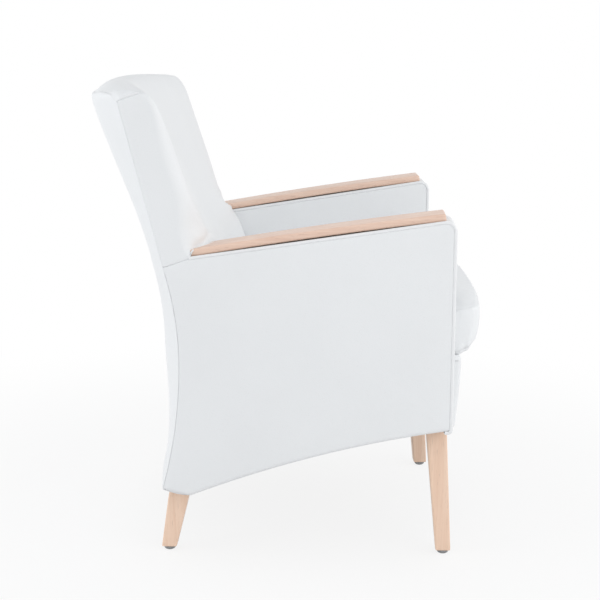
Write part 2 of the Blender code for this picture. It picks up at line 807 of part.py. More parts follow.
def front_curve(z, wide, inset, steps=12):
    """Points across the back at one height: side, rounded ridge, hollow front, ridge, side."""
    half = (HALF_BACK if wide else narrow_half()) - inset
    width, depth, power = ridge_round(z, wide)
    width, depth = width - inset, depth - inset
    front = ridge_line(z) + inset
    points = []
    for i in range(5):
        angle = math.pi / 2 * i / 4
        out = max(math.cos(angle), 0.0) ** (2 / power)
        back = max(math.sin(angle), 0.0) ** (2 / power)
        points.append((half - width + width * out, front + depth - depth * back))
    reach = half - width
    for i in range(1, steps):
        x = mix(reach, -reach, i / steps)
        sway = (math.cos(math.pi * x / 2 / reach) ** 2 + 1 - (x / reach) ** 2) / 2
        points.append((x, front + hollow(z) * sway))
    points += [(-x, y) for x, y in reversed(points[:5])]
    return [(x, y, z + (arch(x, z) if wide else 0)) for x, y in points]




def narrow_rows():
    """Heights of the rows of the back between the arms, from the seat up to the shoulder."""
    rows = [mix(BACK_LOWEST, TUCK_START, t) for t in (0.0, 0.43, 0.77, 1.0)]
    rows += [(TUCK_START + FLARE_END) / 2, FLARE_END, (FLARE_END - STEP) / 2, -STEP]
    return sorted(rows)


NARROW_ROWS = narrow_rows()
WIDE_ROWS = (0.0, 0.06, 0.126, 0.3, 0.5, 0.7, 0.87, 0.92, 0.96, 0.985, 1.0)


def rear_top(x):
    """The rear top edge of the back, in the back's frame."""
    shape = bow_shape(x, HALF_BACK)
    world = Vector((x, TOP_SEAM_Y + BOW_TOP * shape, TOP_SEAM_Z + REAR_RISE * shape))
    return BACK_FRAME.inverted() @ world


def make_back_cover():
    rows = []
    for z in NARROW_ROWS:
        line = front_curve(z, False, 0)
        rear = web_plane(HALF_BACK, z) - LEATHER
        side = [(line[0][0], rear, z)]
        rows.append(side + line + [(-side[0][0], rear, z)])
    first_wide = len(rows)
    for t in WIDE_ROWS:
        z = t * BACK_HEIGHT
        line = front_curve(z, True, 0)
        rows.append([(HALF_BACK, seam_depth(z), z)] + line + [(-HALF_BACK, seam_depth(z), z)])
    top = rows[-1]
    lengths = [0.0]
    for a, b in zip(top, top[1:]):
        lengths.append(lengths[-1] + (Vector(b) - Vector(a)).length)
    for t in (0.25, 0.5, 0.75, 1.0):
        row = []
        for point, length in zip(top, lengths):
            x = mix(HALF_BACK, -HALF_BACK, length / lengths[-1])
            at = Vector(point).lerp(rear_top(x), t)
            at.z += TOP_CROWN * math.sin(math.pi * t) * bow_shape(at.x, HALF_BACK)
            row.append(tuple(at))
        rows.append(row)
    columns = len(top)
    bm = bmesh.new()
    sheet(bm, rows, [(first_wide - 1, 0), (first_wide - 1, columns - 2)])
    bmesh.ops.remove_doubles(bm, verts=bm.verts, dist=1e-6)
    face_away(bm, (0, 30 * MM, BACK_HEIGHT / 2))
    skin(finish(bm, "back_cover", LEATHER_WHITE, BACK_EMPTY), LEATHER)


def trimmed(line, rear):
    """The curve across the back with what lies behind a plane at each side drawn up to the plane."""
    ridge = list(line[:5])
    for i in range(4):
        a, b = line[i], line[i + 1]
        if a[1] > rear >= b[1]:
            at = tuple(Vector(a).lerp(Vector(b), (a[1] - rear) / (a[1] - b[1])))
            ridge[: i + 1] = [at] * (i + 1)
    return ridge + list(line[5:-5]) + [(-x, y, z) for x, y, z in reversed(ridge)]


def foam_loop(z, wide, inset):
    room = WEB + 5 * GAP
    flat = web_plane(HALF_BACK, z) - room
    line = trimmed(front_curve(z, wide, inset), flat - 1 * MM)
    half = line[0][0]
    inner = min(web_half(), half - 2 * MM)
    rear = [(half, flat, z)]
    count = 8
    for i in range(count + 1):
        x = mix(inner, -inner, i / count)
        rear.append((x, web_plane(x, z) - room, z + (arch(x, z) if wide else 0)))
    rear.append((-half, flat, z))
    return line + list(reversed(rear))


def make_back_foam():
    inset = SOFT_GAP
    loops = []
    loops.append(foam_loop(BACK_LOWEST + inset, False, inset))
    for z in NARROW_ROWS[1:-1]:
        loops.append(foam_loop(z, False, inset))
    loops.append(foam_loop(1.5 * inset - STEP, False, 1.5 * inset))
    loops.append(foam_loop(1.5 * inset, True, 1.5 * inset))
    for t in WIDE_ROWS[1:-4]:
        loops.append(foam_loop(t * BACK_HEIGHT, True, inset * (1.6 if t < 0.2 else 1.0)))
    loops.append(foam_loop(0.92 * BACK_HEIGHT, True, 2 * inset))
    bm = bmesh.new()
    loft(bm, loops)
    solid(bm, "back_foam", FOAM, BACK_EMPTY, True)


def make_side_pad(side):
    """The foam on the outer face of the back upright, under the side of the cover."""
    inner = plane_x(HALF_PLY, PIVOT_Y) + 2 * GAP
    outer = HALF_BACK - SOFT_GAP - 3.5 * MM
    loops = []
    for t in WIDE_ROWS[:-2]:
        z = t * BACK_HEIGHT
        low = max(ridge_line(z) + ridge_round(z, True)[1], web_plane(HALF_BACK, z) - WEB) + 2 * MM
        high = seam_depth(z) - LEATHER - 4 * GAP
        z += 2 * GAP
        loop = [(side * inner, low, z), (side * outer, low, z)]
        loops.append(loop + [(side * outer, high, z), (side * inner, high, z)])
    bm = bmesh.new()
    loft(bm, loops)
    solid(bm, "back_side_pad_" + SIDE_NAME[side], FOAM, BACK_EMPTY)


def bow_at(z):
    if z >= SHOULDER_Z:
        return mix(BOW_WAIST, BOW_TOP, smoothstep((z - SHOULDER_Z) / (TOP_SEAM_Z - SHOULDER_Z)))
    foot = PANEL_HEEL_LOW + HEEL_RISE
    return mix(BOW_FOOT, BOW_WAIST, smoothstep((z - foot) / (WAIST_HEIGHT + 15 * MM - foot)))


def make_outside_back():
    stations = []
    foot = PANEL_HEEL_LOW + HEEL_RISE
    for i in range(8):
        z = mix(foot, SHOULDER_Z, i / 8)
        at = arm_point(1, HALF_ARM, rear_edge(z), z)
        stations.append((at.x, at.y, z, 0.0))
    for i in range(7):
        z = BACK_HEIGHT * i / 6
        at = BACK_FRAME @ Vector((HALF_BACK, seam_depth(z), z))
        stations.append((HALF_BACK, at.y, at.z, REAR_RISE * (i / 6) ** 2))
    rows = []
    count = 16
    for x, y, z, rise in stations:
        half = x - LEATHER - GAP
        drop = SOFT_GAP + GAP if z >= TOP_SEAM_Z - 1 * MM else 0
        row = []
        for i in range(count + 1):
            across = half * math.sin(math.pi / 2 * (1 - 2 * i / count))
            shape = bow_shape(across, x)
            row.append((across, y + bow_at(z) * shape, z + rise * shape - drop))
        rows.append(row)
    bm = bmesh.new()
    sheet(bm, rows)
    face_away(bm, (0, 0, BACK_HEIGHT))
    skin(finish(bm, "outside_back_cover", LEATHER_WHITE), LEATHER)


# The cross rails of the back
def rail_half(y, z):
    """Half the length of a rail between the side frames at a point of the back's frame."""
    world = BACK_FRAME @ Vector((0, y, z))
    return plane_x(-HALF_PLY, world.y) - 2 * GAP


RAIL_BACK = 3 * GAP


def rail_loop(x, low, high, depth, shoulder):
    loop = []
    for z, back in ((low + shoulder, 0), (high - shoulder, 0), (high - shoulder, 1), (low + shoulder, 1)):
        inset = shoulder / 2 if back == 0 else depth - shoulder / 2
        loop.append((x, web_plane(x, z) + RAIL_BACK + inset, z))
    return loop


def bowed_rail(name, low, high, depth, count):
    """A rail of the back, bowed to the webbing, with a stub tenon let into each upright."""
    half = rail_half(depth, high)
    shoulder = TENON_SHOULDER / 2
    ends = [rail_loop(x, low, high, depth, shoulder) for x in (-half - PLY_TENON, -half)]
    body = [rail_loop(mix(-half, half, i / count), low, high, depth, 0) for i in range(count + 1)]
    far = [[(-x, y, z) for x, y, z in loop] for loop in reversed(ends)]
    bm = bmesh.new()
    loft(bm, ends + body + far)
    solid(bm, name, SOFTWOOD, BACK_EMPTY, False)
    for side in (1, -1):
        xs = sorted((side * (half - 2 * MM), side * (half + PLY_TENON)))
        ys = [y for _, y, _ in ends[0]]
        zs = [z for _, _, z in ends[0]]
        first = (xs[0], min(ys), min(zs))
        last = (xs[1], max(ys), max(zs))
        mortise("side_frame_" + SIDE_NAME[side], BACK_FRAME, first, last)


def strap_mesh(bm, across, along, place):
    """Straps both ways laid on place(x, t): across and along hold the edges of each strap in turn."""
    skip = []
    for row in range(len(along) - 1):
        for column in range(len(across) - 1):
            if row % 2 == 0 and column % 2 == 0:
                skip.append((row, column))
    sheet(bm, [[place(x, t) for x in across] for t in along], skip)
    loose = [v for v in bm.verts if not v.link_faces]
    bmesh.ops.delete(bm, geom=loose, context="VERTS")


def make_back_webbing():
    half = plane_x(-HALF_PLY, TOP_SEAM_Y)
    across = []
    for middle in (-0.66, -0.22, 0.22, 0.66):
        across += [middle * half - BACK_STRAP / 2, middle * half + BACK_STRAP / 2]
    low, high = LUMBAR_RAIL[0] + 4 * MM, TOP_RAIL[1] - 3 * MM
    along = [low]
    for t in (0.3, 0.62):
        along += [mix(low, high, t) - BACK_STRAP / 2, mix(low, high, t) + BACK_STRAP / 2]
    along.append(high)
    across = [across[0] - 1 * MM] + across + [across[-1] + 1 * MM]
    bm = bmesh.new()
    strap_mesh(bm, across, along, lambda x, z: (x, web_plane(x, z) - GAP - WEB, z))
    face_away(bm, (0, 1, BACK_HEIGHT / 2))
    skin(finish(bm, "back_webbing", WEBBING, BACK_EMPTY), WEB)


# The seat frame
REAR_RAIL_Y = PIVOT_Y - REAR_RAIL_SETBACK
FRONT_RAIL_Y = ARM_FRONT_Y + LEG_FRONT * math.cos(TAPER) + LEG_IN * math.sin(TAPER)


def leg_face(world_y):
    return plane_x(LEG_IN, world_y)


FRONT_RAIL_HALF = leg_face(FRONT_RAIL_Y + SEAT_RAIL) - 2 * GAP
REAR_RAIL_HALF = plane_x(-HALF_PLY, REAR_RAIL_Y + SEAT_RAIL) - 2 * GAP
LOW_RAIL_LOW = PANEL_HEEL_LOW + LOW_RAIL_LIFT
LOW_RAIL = (LOW_RAIL_LOW, LOW_RAIL_LOW + LOW_RAIL_HEIGHT)
LOW_RAIL_MID = ARM_FRONT_Y + leg_line(False, sum(LOW_RAIL) / 2) * math.cos(TAPER)
LOW_RAIL_HALF = leg_face(LOW_RAIL_MID + SEAT_RAIL / 2) - 2 * GAP


def seat_rail(name, half, y, low, high, tenon, into):
    """A straight rail across the seat with a stub tenon at each end."""
    def loop(x, inset_y, inset_z):
        a, b = y + inset_y, y + SEAT_RAIL - inset_y
        return [(x, a, low + inset_z), (x, b, low + inset_z), (x, b, high - inset_z), (x, a, high - inset_z)]

    inset = (SEAT_RAIL - TENON) / 2
    drop = TENON_SHOULDER
    loops = [loop(-half - tenon, inset, drop), loop(-half, inset, drop), loop(-half, 0, 0)]
    loops += [loop(half, 0, 0), loop(half, inset, drop), loop(half + tenon, inset, drop)]
    bm = bmesh.new()
    loft(bm, loops)
    solid(bm, name, SOFTWOOD)
    for side in (1, -1):
        xs = sorted((side * (half - 2 * MM), side * (half + tenon)))
        first = (xs[0], y + inset, low + TENON_SHOULDER)
        last = (xs[1], y + SEAT_RAIL - inset, high - TENON_SHOULDER)
        mortise(into + SIDE_NAME[side], Matrix.Identity(4), first, last)


def make_seat_rails():
    seat_rail("front_rail", FRONT_RAIL_HALF, FRONT_RAIL_Y, FRONT_RAIL_LOW, RAIL_TOP, LEG_TENON, "leg_front_")
    low = RAIL_TOP - REAR_RAIL_HEIGHT
    seat_rail("rear_seat_rail", REAR_RAIL_HALF, REAR_RAIL_Y, low, RAIL_TOP, PLY_TENON, "side_frame_")
    seat_rail("low_rear_rail", LOW_RAIL_HALF, LOW_RAIL_MID - SEAT_RAIL / 2, *LOW_RAIL, LEG_TENON, "leg_rear_")


def make_seat_webbing():
    front, rear = FRONT_RAIL_Y + 1 * MM, REAR_RAIL_Y + SEAT_RAIL - 1 * MM
    along = [front]
    for t in (0.26, 0.52, 0.78):
        middle = mix(FRONT_RAIL_Y, REAR_RAIL_Y, t)
        along += [middle - SEAT_STRAP / 2, middle + SEAT_STRAP / 2]
    along.append(rear)
    across = [-1.0]
    for middle in (-0.66, -0.22, 0.22, 0.66):
        across += [middle - 0.12, middle + 0.12]
    across.append(1.0)

    def place(x, y):
        return x * (plane_x(-HALF_PLY, y) - 1 * MM), y, RAIL_TOP + GAP + WEB

    bm = bmesh.new()
    strap_mesh(bm, across, along, place)
    face_away(bm, (0, 0, -5))
    skin(finish(bm, "seat_webbing", WEBBING), WEB)


def make_deck():
    clear = 1 * MM + 2 * GAP
    front = ARM_FRONT_Y - FRONT_PAD + 5 * MM
    rear = REAR_RAIL_Y + SEAT_RAIL
    flat = []
    for y in (front, ARM_FRONT_Y, rear):
        flat.append((plane_x(-HALF_ARM, max(y, ARM_FRONT_Y)) - clear, y))
    flat += [(-x, y) for x, y in reversed(flat)]
    bm = bmesh.new()
    loft(bm, [[(x, y, DECK_LOW) for x, y in flat], [(x, y, DECK_TOP) for x, y in flat]])
    solid(bm, "seat_deck", DECK_CLOTH)


def make_dust_cover():
    """The cloth under the seat, notched round the legs and hung along the arched lower edge."""
    leg_rear = LEG_FRONT + LEG + 1 * MM
    rear_front = leg_line(False, LOW_RAIL[0]) - LEG / 2 - 7 * MM
    start = LEG_FRONT + 1 * MM
    end = (LOW_RAIL_MID + SEAT_RAIL / 2 - ARM_FRONT_Y) / math.cos(TAPER)
    flat = end - SEAT_RAIL - 4 * MM
    stations = [start, leg_rear]
    stations += [mix(leg_rear, rear_front, i / 6) for i in range(1, 7)]
    stations += [flat, end]
    rows = []
    for y in stations:
        t = min((y - start) / (flat - start), 1.0)
        z = mix(FRONT_RAIL_LOW, LOW_RAIL[0], t) + 2.4 * PANEL_ARCH * t * (1 - t) - GAP
        world_y = ARM_FRONT_Y + y * math.cos(TAPER)
        outer = plane_x(-HALF_PLY, world_y) - 1 * MM
        inner = plane_x(LEG_IN, world_y) - 1 * MM
        rows.append([(x, world_y, z) for x in (outer, inner, -inner, -outer)])
    last = len(rows) - 2
    bm = bmesh.new()
    sheet(bm, rows, [(row, column) for row in (0, last - 1, last) for column in (0, 2)])
    face_away(bm, (0, 0, -5))
    skin(finish(bm, "dust_cover", DUST_CLOTH), CLOTH)


# The front border under the cushion
PAD_HALF = plane_x(-HALF_ARM, ARM_FRONT_Y) - 1 * MM - 3 * GAP
PAD_TOP = DECK_LOW - GAP


def pad_form(bm, inset, back):
    low = (-PAD_HALF + inset, ARM_FRONT_Y - FRONT_PAD + FRONT_PAD_LEAN + inset, FRONT_PAD_LOW + inset)
    high = (PAD_HALF - inset, FRONT_RAIL_Y - back, PAD_TOP - inset)
    verts = box_mesh(bm, low, high)
    middle = (low[1] + high[1]) / 2
    for vertex in verts:
        if vertex.co.y < middle and vertex.co.z > (low[2] + high[2]) / 2:
            vertex.co.y -= FRONT_PAD_LEAN
    edges = [e for e in bm.edges if all(v.co.y < middle for v in e.verts)]
    bmesh.ops.bevel(bm, geom=edges, offset=7 * MM - inset, segments=3, profile=0.5, affect="EDGES")


def make_front_pad():
    bm = bmesh.new()
    pad_form(bm, 0, GAP)
    bm.normal_update()
    rear = [f for f in bm.faces if f.normal.y > 0.9]
    bmesh.ops.delete(bm, geom=rear, context="FACES")
    face_away(bm, (0, ARM_FRONT_Y, (FRONT_PAD_LOW + PAD_TOP) / 2))
    skin(finish(bm, "front_border_cover", LEATHER_WHITE), LEATHER)
    bm = bmesh.new()
    pad_form(bm, SOFT_GAP, GAP)
    solid(bm, "front_border_foam", FOAM, None, True)


# The loose seat cushion
CUSHION_REAR = (BACK_FRAME @ Vector((0, ridge_line(TUCK_START), TUCK_START))).y - CUSHION_CLEAR


def cushion_half(world_y):
    return plane_x(-HALF_ARM, max(world_y, ARM_FRONT_Y)) - 1 * MM - CUSHION_CLEAR


def cushion_form(inset, low_inset):
    """A boxed cushion: crowned top, rounded nose, sides drawn in between the corners."""
    bm = bmesh.new()
    bmesh.ops.create_cube(bm, size=2)
    bmesh.ops.subdivide_edges(bm, edges=bm.edges, cuts=7, use_grid_fill=True)
    for vertex in bm.verts:
        a, b, c = (math.sin(math.pi / 2 * v) for v in vertex.co)
        crown = CUSHION_CROWN / CUSHION_HEIGHT * 2 * (1 - abs(a) ** 2.4) * (1 - abs(b) ** 2.4)
        bulge = 1 - c * c
        x, y, z = a, b, c
        if c > 0.999:
            z += crown
        if abs(a) > 0.999:
            x *= 1 + 0.012 * bulge - 0.012 * (1 - b * b)
        if b < -0.999:
            y -= CUSHION_BULGE / (OVERALL_DEPTH / 3) * bulge
        vertex.co = (x, y, z)
    for _ in range(2):
        bmesh.ops.smooth_vert(
            bm, verts=bm.verts, factor=0.5, use_axis_x=True, use_axis_y=True, use_axis_z=True
        )
    low = [min(v.co[k] for v in bm.verts) for k in range(3)]
    high = [max(v.co[k] for v in bm.verts) for k in range(3)]
    start = Vector((-1, -OVERALL_DEPTH / 2 + inset, CUSHION_LOW + low_inset))
    end = Vector((1, CUSHION_REAR - inset, CUSHION_TOP - inset))
    for vertex in bm.verts:
        for k in range(3):
            vertex.co[k] = mix(start[k], end[k], (vertex.co[k] - low[k]) / (high[k] - low[k]))
        vertex.co.x *= cushion_half(vertex.co.y) - inset
    return bm


def make_cushion():
    solid(cushion_form(LEATHER + 2 * MM, LEATHER + GAP), "seat_cushion_foam", FOAM, None, True)
    cover = skin(solid(cushion_form(0, 0), "seat_cushion_cover", LEATHER_WHITE, None, True), LEATHER)
    middle = CUSHION_LOW + CUSHION_HEIGHT * 0.4
    length, height = ZIP_LENGTH / 2, ZIP_HEIGHT / 2
    bm = bmesh.new()
    deep = 6 * MM
    low = (-length, CUSHION_REAR - deep, middle - height)
    box_mesh(bm, low, (length, CUSHION_REAR + deep, middle + height))
    cut(cover, finish(bm, "zip_slot", None, None, False, CUTTERS))
    low = (GAP - length, CUSHION_REAR - LEATHER - 1.4 * MM, middle - height + GAP)
    box("seat_cushion_zip", low, (length - GAP, CUSHION_REAR - 4 * GAP, middle + height - GAP), ZIP_WHITE)


# Fasteners
def stepped_pin(bm, seat, tip, steps, sides):
    """Rings of given radii at distances from a seat towards a tip, lofted into one round form."""
    turn = (tip - seat).to_track_quat("Z", "Y").to_matrix().to_4x4()
    place = Matrix.Translation(seat) @ turn
    loops = []
    for size, z in steps:
        ring = []
        for i in range(sides):
            angle = math.pi / 2 - 2 * math.pi * i / sides
            ring.append(place @ Vector((size * math.cos(angle), size * math.sin(angle), z)))
        loops.append(ring)
    loft(bm, loops)


def headed_pin(name, seat, tip, radius, head, height, sides):
    """A pin with a wider head that grows back from the start of its shaft."""
    length = (tip - seat).length
    bm = bmesh.new()
    stepped_pin(bm, seat, tip, ((head, -height), (head, 0.0), (radius, 0.0), (radius, length)), sides)
    solid(bm, name, STEEL)


def headed_hole(target, seat, tip, radius, head, pocket, sides):
    """A bore for a headed pin with a pocket for its head, open on the side of the head."""
    length = (tip - seat).length + GAP
    steps = ((head, -pocket), (head, GAP), (radius + GAP, GAP), (radius + GAP, length))
    stepped_pin(CUTS.setdefault(target, bmesh.new()), seat, tip, steps, sides)


def make_bolts(side):
    frame = "side_frame_" + SIDE_NAME[side]
    for front, z in ((True, mix(FRONT_LEG_SHOULDER, RAIL_TOP, 0.55)), (False, REAR_LEG_TOP - 22 * MM)):
        leg = f"{'front' if front else 'rear'}_{SIDE_NAME[side]}"
        y = leg_line(front, z) + (LEG / 4 if front else 0)
        seat = arm_point(side, HALF_PLY - BOLT_HEAD, y, z)
        tip = arm_point(side, LEG_OUT - BOLT_REACH, y, z)
        hole(["leg_" + leg], seat, tip, BOLT_RADIUS, 6)
        headed_hole(frame, seat, tip, BOLT_RADIUS, BOLT_HEAD + 1 * MM, BOLT_HEAD * 1.5, 6)
        headed_pin("leg_bolt_" + leg, seat, tip, BOLT_RADIUS, BOLT_HEAD, BOLT_HEAD * 0.85, 6)


def make_cap_screws(side):
    """Two screws up through the arm rail into the cap, with their heads in pockets of the foam."""
    name = SIDE_NAME[side]
    x = -HALF_PLY - SCREW_INBOARD
    for where, y in SCREW_Y.items():
        low = ARM_FRAME[side] @ Vector(sloped(side, x, y, RAIL_LIFT[0] - SCREW_HEAD))
        seat = ARM_FRAME[side] @ Vector(sloped(side, x, y, RAIL_LIFT[0] - GAP))
        tip = ARM_FRAME[side] @ Vector(sloped(side, x, y, SCREW_BITE))
        hole(["arm_rail_" + name, "arm_border_" + name, "arm_cap_" + name], seat, tip, SCREW_RADIUS, 8)
        hole(["arm_inner_foam_" + name], low, seat, SCREW_HEAD, 8)
        headed_pin(f"cap_screw_{where}_{name}", seat, tip, SCREW_RADIUS, SCREW_HEAD, 3 * MM, 8)


def scribe_cap(cap, side):
    """Cuts the rear end of an arm cap to the form of the back that it runs into."""
    loops = []
    ease = -4 * GAP
    rear = 60 * MM
    for z in (-40 * MM, 0, 17.6 * MM, 37 * MM, 60 * MM):
        line = [(x, y, z) for x, y, _ in front_curve(max(z, 0), True, ease)]
        half = line[0][0]
        loops.append(line + [(-half, rear, z), (half, rear, z)])
    bm = bmesh.new()
    loft(bm, loops)
    bmesh.ops.recalc_face_normals(bm, faces=bm.faces)
    cutter = finish(bm, "cap_scribe_" + SIDE_NAME[side], None, BACK_EMPTY, False, CUTTERS)
    cut(cap, cutter)


# Build the chair
for SIDE in (1, -1):
    make_leg(SIDE, True)
    make_leg(SIDE, False)
    make_side_frame(SIDE)
    ROOM = make_arm_rail(SIDE)
    make_front_post(SIDE)
    make_cleat(SIDE)
    make_arm_foam(SIDE, ROOM)
    make_arm_covers(SIDE)
    make_border(SIDE)
    make_piping(SIDE)
    scribe_cap(make_cap(SIDE), SIDE)
    make_side_pad(SIDE)
    make_bolts(SIDE)
    make_cap_screws(SIDE)

make_back_cover()
make_back_foam()
make_outside_back()
bowed_rail("back_top_rail", *TOP_RAIL, TOP_RAIL_DEPTH, 10)
bowed_rail("lumbar_rail", *LUMBAR_RAIL, LUMBAR_RAIL_DEPTH, 6)
make_back_webbing()
make_seat_rails()
make_seat_webbing()
make_deck()
make_dust_cover()
make_front_pad()
make_cushion()
cut_holes()
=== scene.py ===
# %% [markdown]
# A low-back armchair in white leather, with beech arm caps and legs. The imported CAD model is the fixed
# frame. Its timber, webbing and fasteners stay and get finishes. Its plain soft solids are replaced by
# sewn and padded pieces, which are modelled below in the same place, one step at a time.

# %% Load the frame
import math

import bmesh
import bpy
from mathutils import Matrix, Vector, noise


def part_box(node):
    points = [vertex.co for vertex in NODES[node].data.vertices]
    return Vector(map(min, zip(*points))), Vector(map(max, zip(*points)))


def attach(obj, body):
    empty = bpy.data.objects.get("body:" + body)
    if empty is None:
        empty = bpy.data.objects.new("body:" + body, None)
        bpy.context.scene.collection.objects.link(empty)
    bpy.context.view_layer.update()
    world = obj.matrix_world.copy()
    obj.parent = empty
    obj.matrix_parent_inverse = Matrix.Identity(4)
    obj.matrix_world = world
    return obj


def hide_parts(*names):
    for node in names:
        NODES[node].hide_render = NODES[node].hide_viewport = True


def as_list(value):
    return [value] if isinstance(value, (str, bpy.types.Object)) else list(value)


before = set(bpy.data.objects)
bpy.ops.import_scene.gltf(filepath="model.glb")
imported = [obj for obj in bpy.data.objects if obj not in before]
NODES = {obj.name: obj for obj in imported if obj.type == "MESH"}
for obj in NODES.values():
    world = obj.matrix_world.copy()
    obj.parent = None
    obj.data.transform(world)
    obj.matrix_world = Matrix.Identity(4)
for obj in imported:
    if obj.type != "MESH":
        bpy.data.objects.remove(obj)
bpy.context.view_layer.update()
MM = 0.001

# %% [markdown]
# A finish is a graph of shader nodes. Adding each Math node by hand hides the sum that it makes, so a
# small class wraps a socket and its operators add the nodes.


# %% Shader sums
class Wire:
    """An output socket that is used in sums like a number."""

    def __init__(self, finish, socket):
        self.finish = finish
        self.socket = socket

    def sum(self, operation, a, b):
        return self.finish.add("ShaderNodeMath", {"operation": operation}, {0: a, 1: b})

    def __add__(self, other):
        return self.sum("ADD", self, other)

    def __radd__(self, other):
        return self.sum("ADD", other, self)

    def __sub__(self, other):
        return self.sum("SUBTRACT", self, other)

    def __rsub__(self, other):
        return self.sum("SUBTRACT", other, self)

    def __mul__(self, other):
        return self.sum("MULTIPLY", self, other)

    def __rmul__(self, other):
        return self.sum("MULTIPLY", other, self)

    def wave(self):
        return self.sum("SINE", self, 0.0)

    def above(self, start, end):
        """Nought below start, one above end, and a soft step between them."""
        settings = {"interpolation_type": "SMOOTHSTEP"}
        return self.finish.add("ShaderNodeMapRange", settings, {0: self, 1: start, 2: end})


# %% [markdown]
# A finish is one material with a Principled shader. Its nodes come from one method, which sets a node's
# own settings first and then fills its sockets with values or links. The other methods are what this
# chair needs: noise, cells, a mix of two colours and a bump. Patterns read Object coordinates, so they
# keep their true size in metres and stay in place on their piece.


# %% Finishes
class Finish:
    """One material, with its Principled shader and the nodes that feed it."""

    def __init__(self, name, colour, roughness, metallic=0.0):
        self.material = bpy.data.materials.new(name)
        self.material.use_nodes = True
        self.tree = self.material.node_tree
        self.shader = self.tree.nodes["Principled BSDF"]
        self.feed("Base Color", (*colour, 1.0))
        self.feed("Roughness", roughness)
        self.feed("Metallic", metallic)

    def fill(self, socket, value):
        if isinstance(value, Wire):
            self.tree.links.new(value.socket, socket)
        else:
            socket.default_value = value

    def feed(self, name, value):
        self.fill(self.shader.inputs[name], value)

    def add(self, kind, settings=None, inputs=None, output=0):
        node = self.tree.nodes.new(kind)
        for name, value in (settings or {}).items():
            setattr(node, name, value)
        for name, value in (inputs or {}).items():
            self.fill(node.inputs[name], value)
        return Wire(self, node.outputs[output])

    def place(self, scale=(1.0, 1.0, 1.0)):
        """Object coordinates, stretched."""
        where = self.add("ShaderNodeTexCoord", output="Object")
        return self.add("ShaderNodeMapping", {}, {"Vector": where, "Scale": scale})

    def cloud(self, where, scale, detail=3.0, rough=0.5, bend=0.0):
        inputs = {"Vector": where, "Scale": scale, "Detail": detail, "Roughness": rough, "Distortion": bend}
        return self.add("ShaderNodeTexNoise", {}, inputs)

    def cells(self, where, scale):
        return self.add("ShaderNodeTexVoronoi", {"feature": "F1"}, {"Vector": where, "Scale": scale})

    def axis(self, where, name):
        return self.add("ShaderNodeSeparateXYZ", {}, {0: where}, name)

    def tint(self, share, first, second):
        """A colour between two colours, each a tuple or a wire."""
        ends = [c if isinstance(c, Wire) else (*c, 1.0) for c in (first, second)]
        return self.add("ShaderNodeMix", {"data_type": "RGBA"}, {0: share, 6: ends[0], 7: ends[1]}, 2)

    def relief(self, height, depth, strength=1.0):
        inputs = {"Height": height, "Distance": depth, "Strength": strength}
        self.feed("Normal", self.add("ShaderNodeBump", {}, inputs))


# %% [markdown]
# The cover is smooth white leather with a satin top coat. Up close it has a fine pebble of cells about
# a millimetre across, crossed by finer creases, and its colour wanders a little from hide to hide. The
# pebble could be displaced geometry, but it is too small for that, so it is bump and roughness. A piece
# may carry a seam attribute, and the leather is painted a little darker along it: painted shade for the
# shadow in the groove of the seam.

# %% Leather
COVER_WHITE = (0.845, 0.858, 0.868)
PIPING_WHITE = (0.85, 0.858, 0.865)
COVER_PEBBLE = 760.0
PIPING_PEBBLE = 900.0
PEBBLE_DEPTH = 0.00022
HIDE_DARK = 0.982
PORE_DARK = 0.90
# How dark the painted shade along a seam is.
SEAM_SHADE = 0.72


def scaled(values, factor):
    return tuple(value * factor for value in values)


def leather(name, colour, pebble):
    made = Finish(name, colour, 0.44)
    where = made.place()
    cells = made.cells(where, pebble)
    crease = made.cloud(where, pebble * 0.55, 4.0, 0.6)
    hide = made.cloud(where, 5.0, 2.0)
    tone = made.tint(hide.above(0.3, 0.7), scaled(colour, HIDE_DARK), colour)
    skin = made.tint(cells.above(0.62, 0.95) * 0.35, tone, scaled(colour, PORE_DARK))
    # Painted shade: the colour darkens along the seam attribute, in place of the shadow in the seam's
    # groove.
    seam = made.add("ShaderNodeAttribute", {"attribute_name": "seam"}, output="Fac")
    made.feed("Base Color", made.tint(seam * 0.55, skin, scaled(colour, SEAM_SHADE)))
    made.feed("Roughness", 0.40 + cells * 0.10 + hide * 0.04)
    made.relief(cells * -0.7 + crease * 0.5, PEBBLE_DEPTH, 0.45)
    return made.material


LEATHER = leather("leather_white", COVER_WHITE, COVER_PEBBLE)
PIPING_LEATHER = leather("leather_piping", PIPING_WHITE, PIPING_PEBBLE)
print("leather", LEATHER.name, PIPING_LEATHER.name)

# %% [markdown]
# The caps and legs are steamed beech under a clear satin lacquer: pinkish, with a straight fine grain
# and short darker flecks along it. The grain is noise that is stretched along the piece, so each piece
# says which way its grain runs. The hidden rails are the same timber, planed and not lacquered.

# %% Timber
CAP_LIGHT = (0.865, 0.645, 0.52)
CAP_DARK = (0.765, 0.525, 0.41)
LEG_LIGHT = (0.94, 0.70, 0.545)
LEG_DARK = (0.84, 0.58, 0.425)
RAW_LIGHT = (0.68, 0.50, 0.33)
RAW_DARK = (0.55, 0.385, 0.235)
GRAIN = (120.0, 3.2)
FLECK = (560.0, 46.0)
FLECK_DARK = 0.72
BROAD = 0.12
LACQUERED_DEPTH = 0.00012
PLANED_DEPTH = 0.0003


def drawn_out(axis, across, along):
    """Scales for a noise that is drawn out along one axis."""
    return tuple(along if k == axis else across for k in range(3))


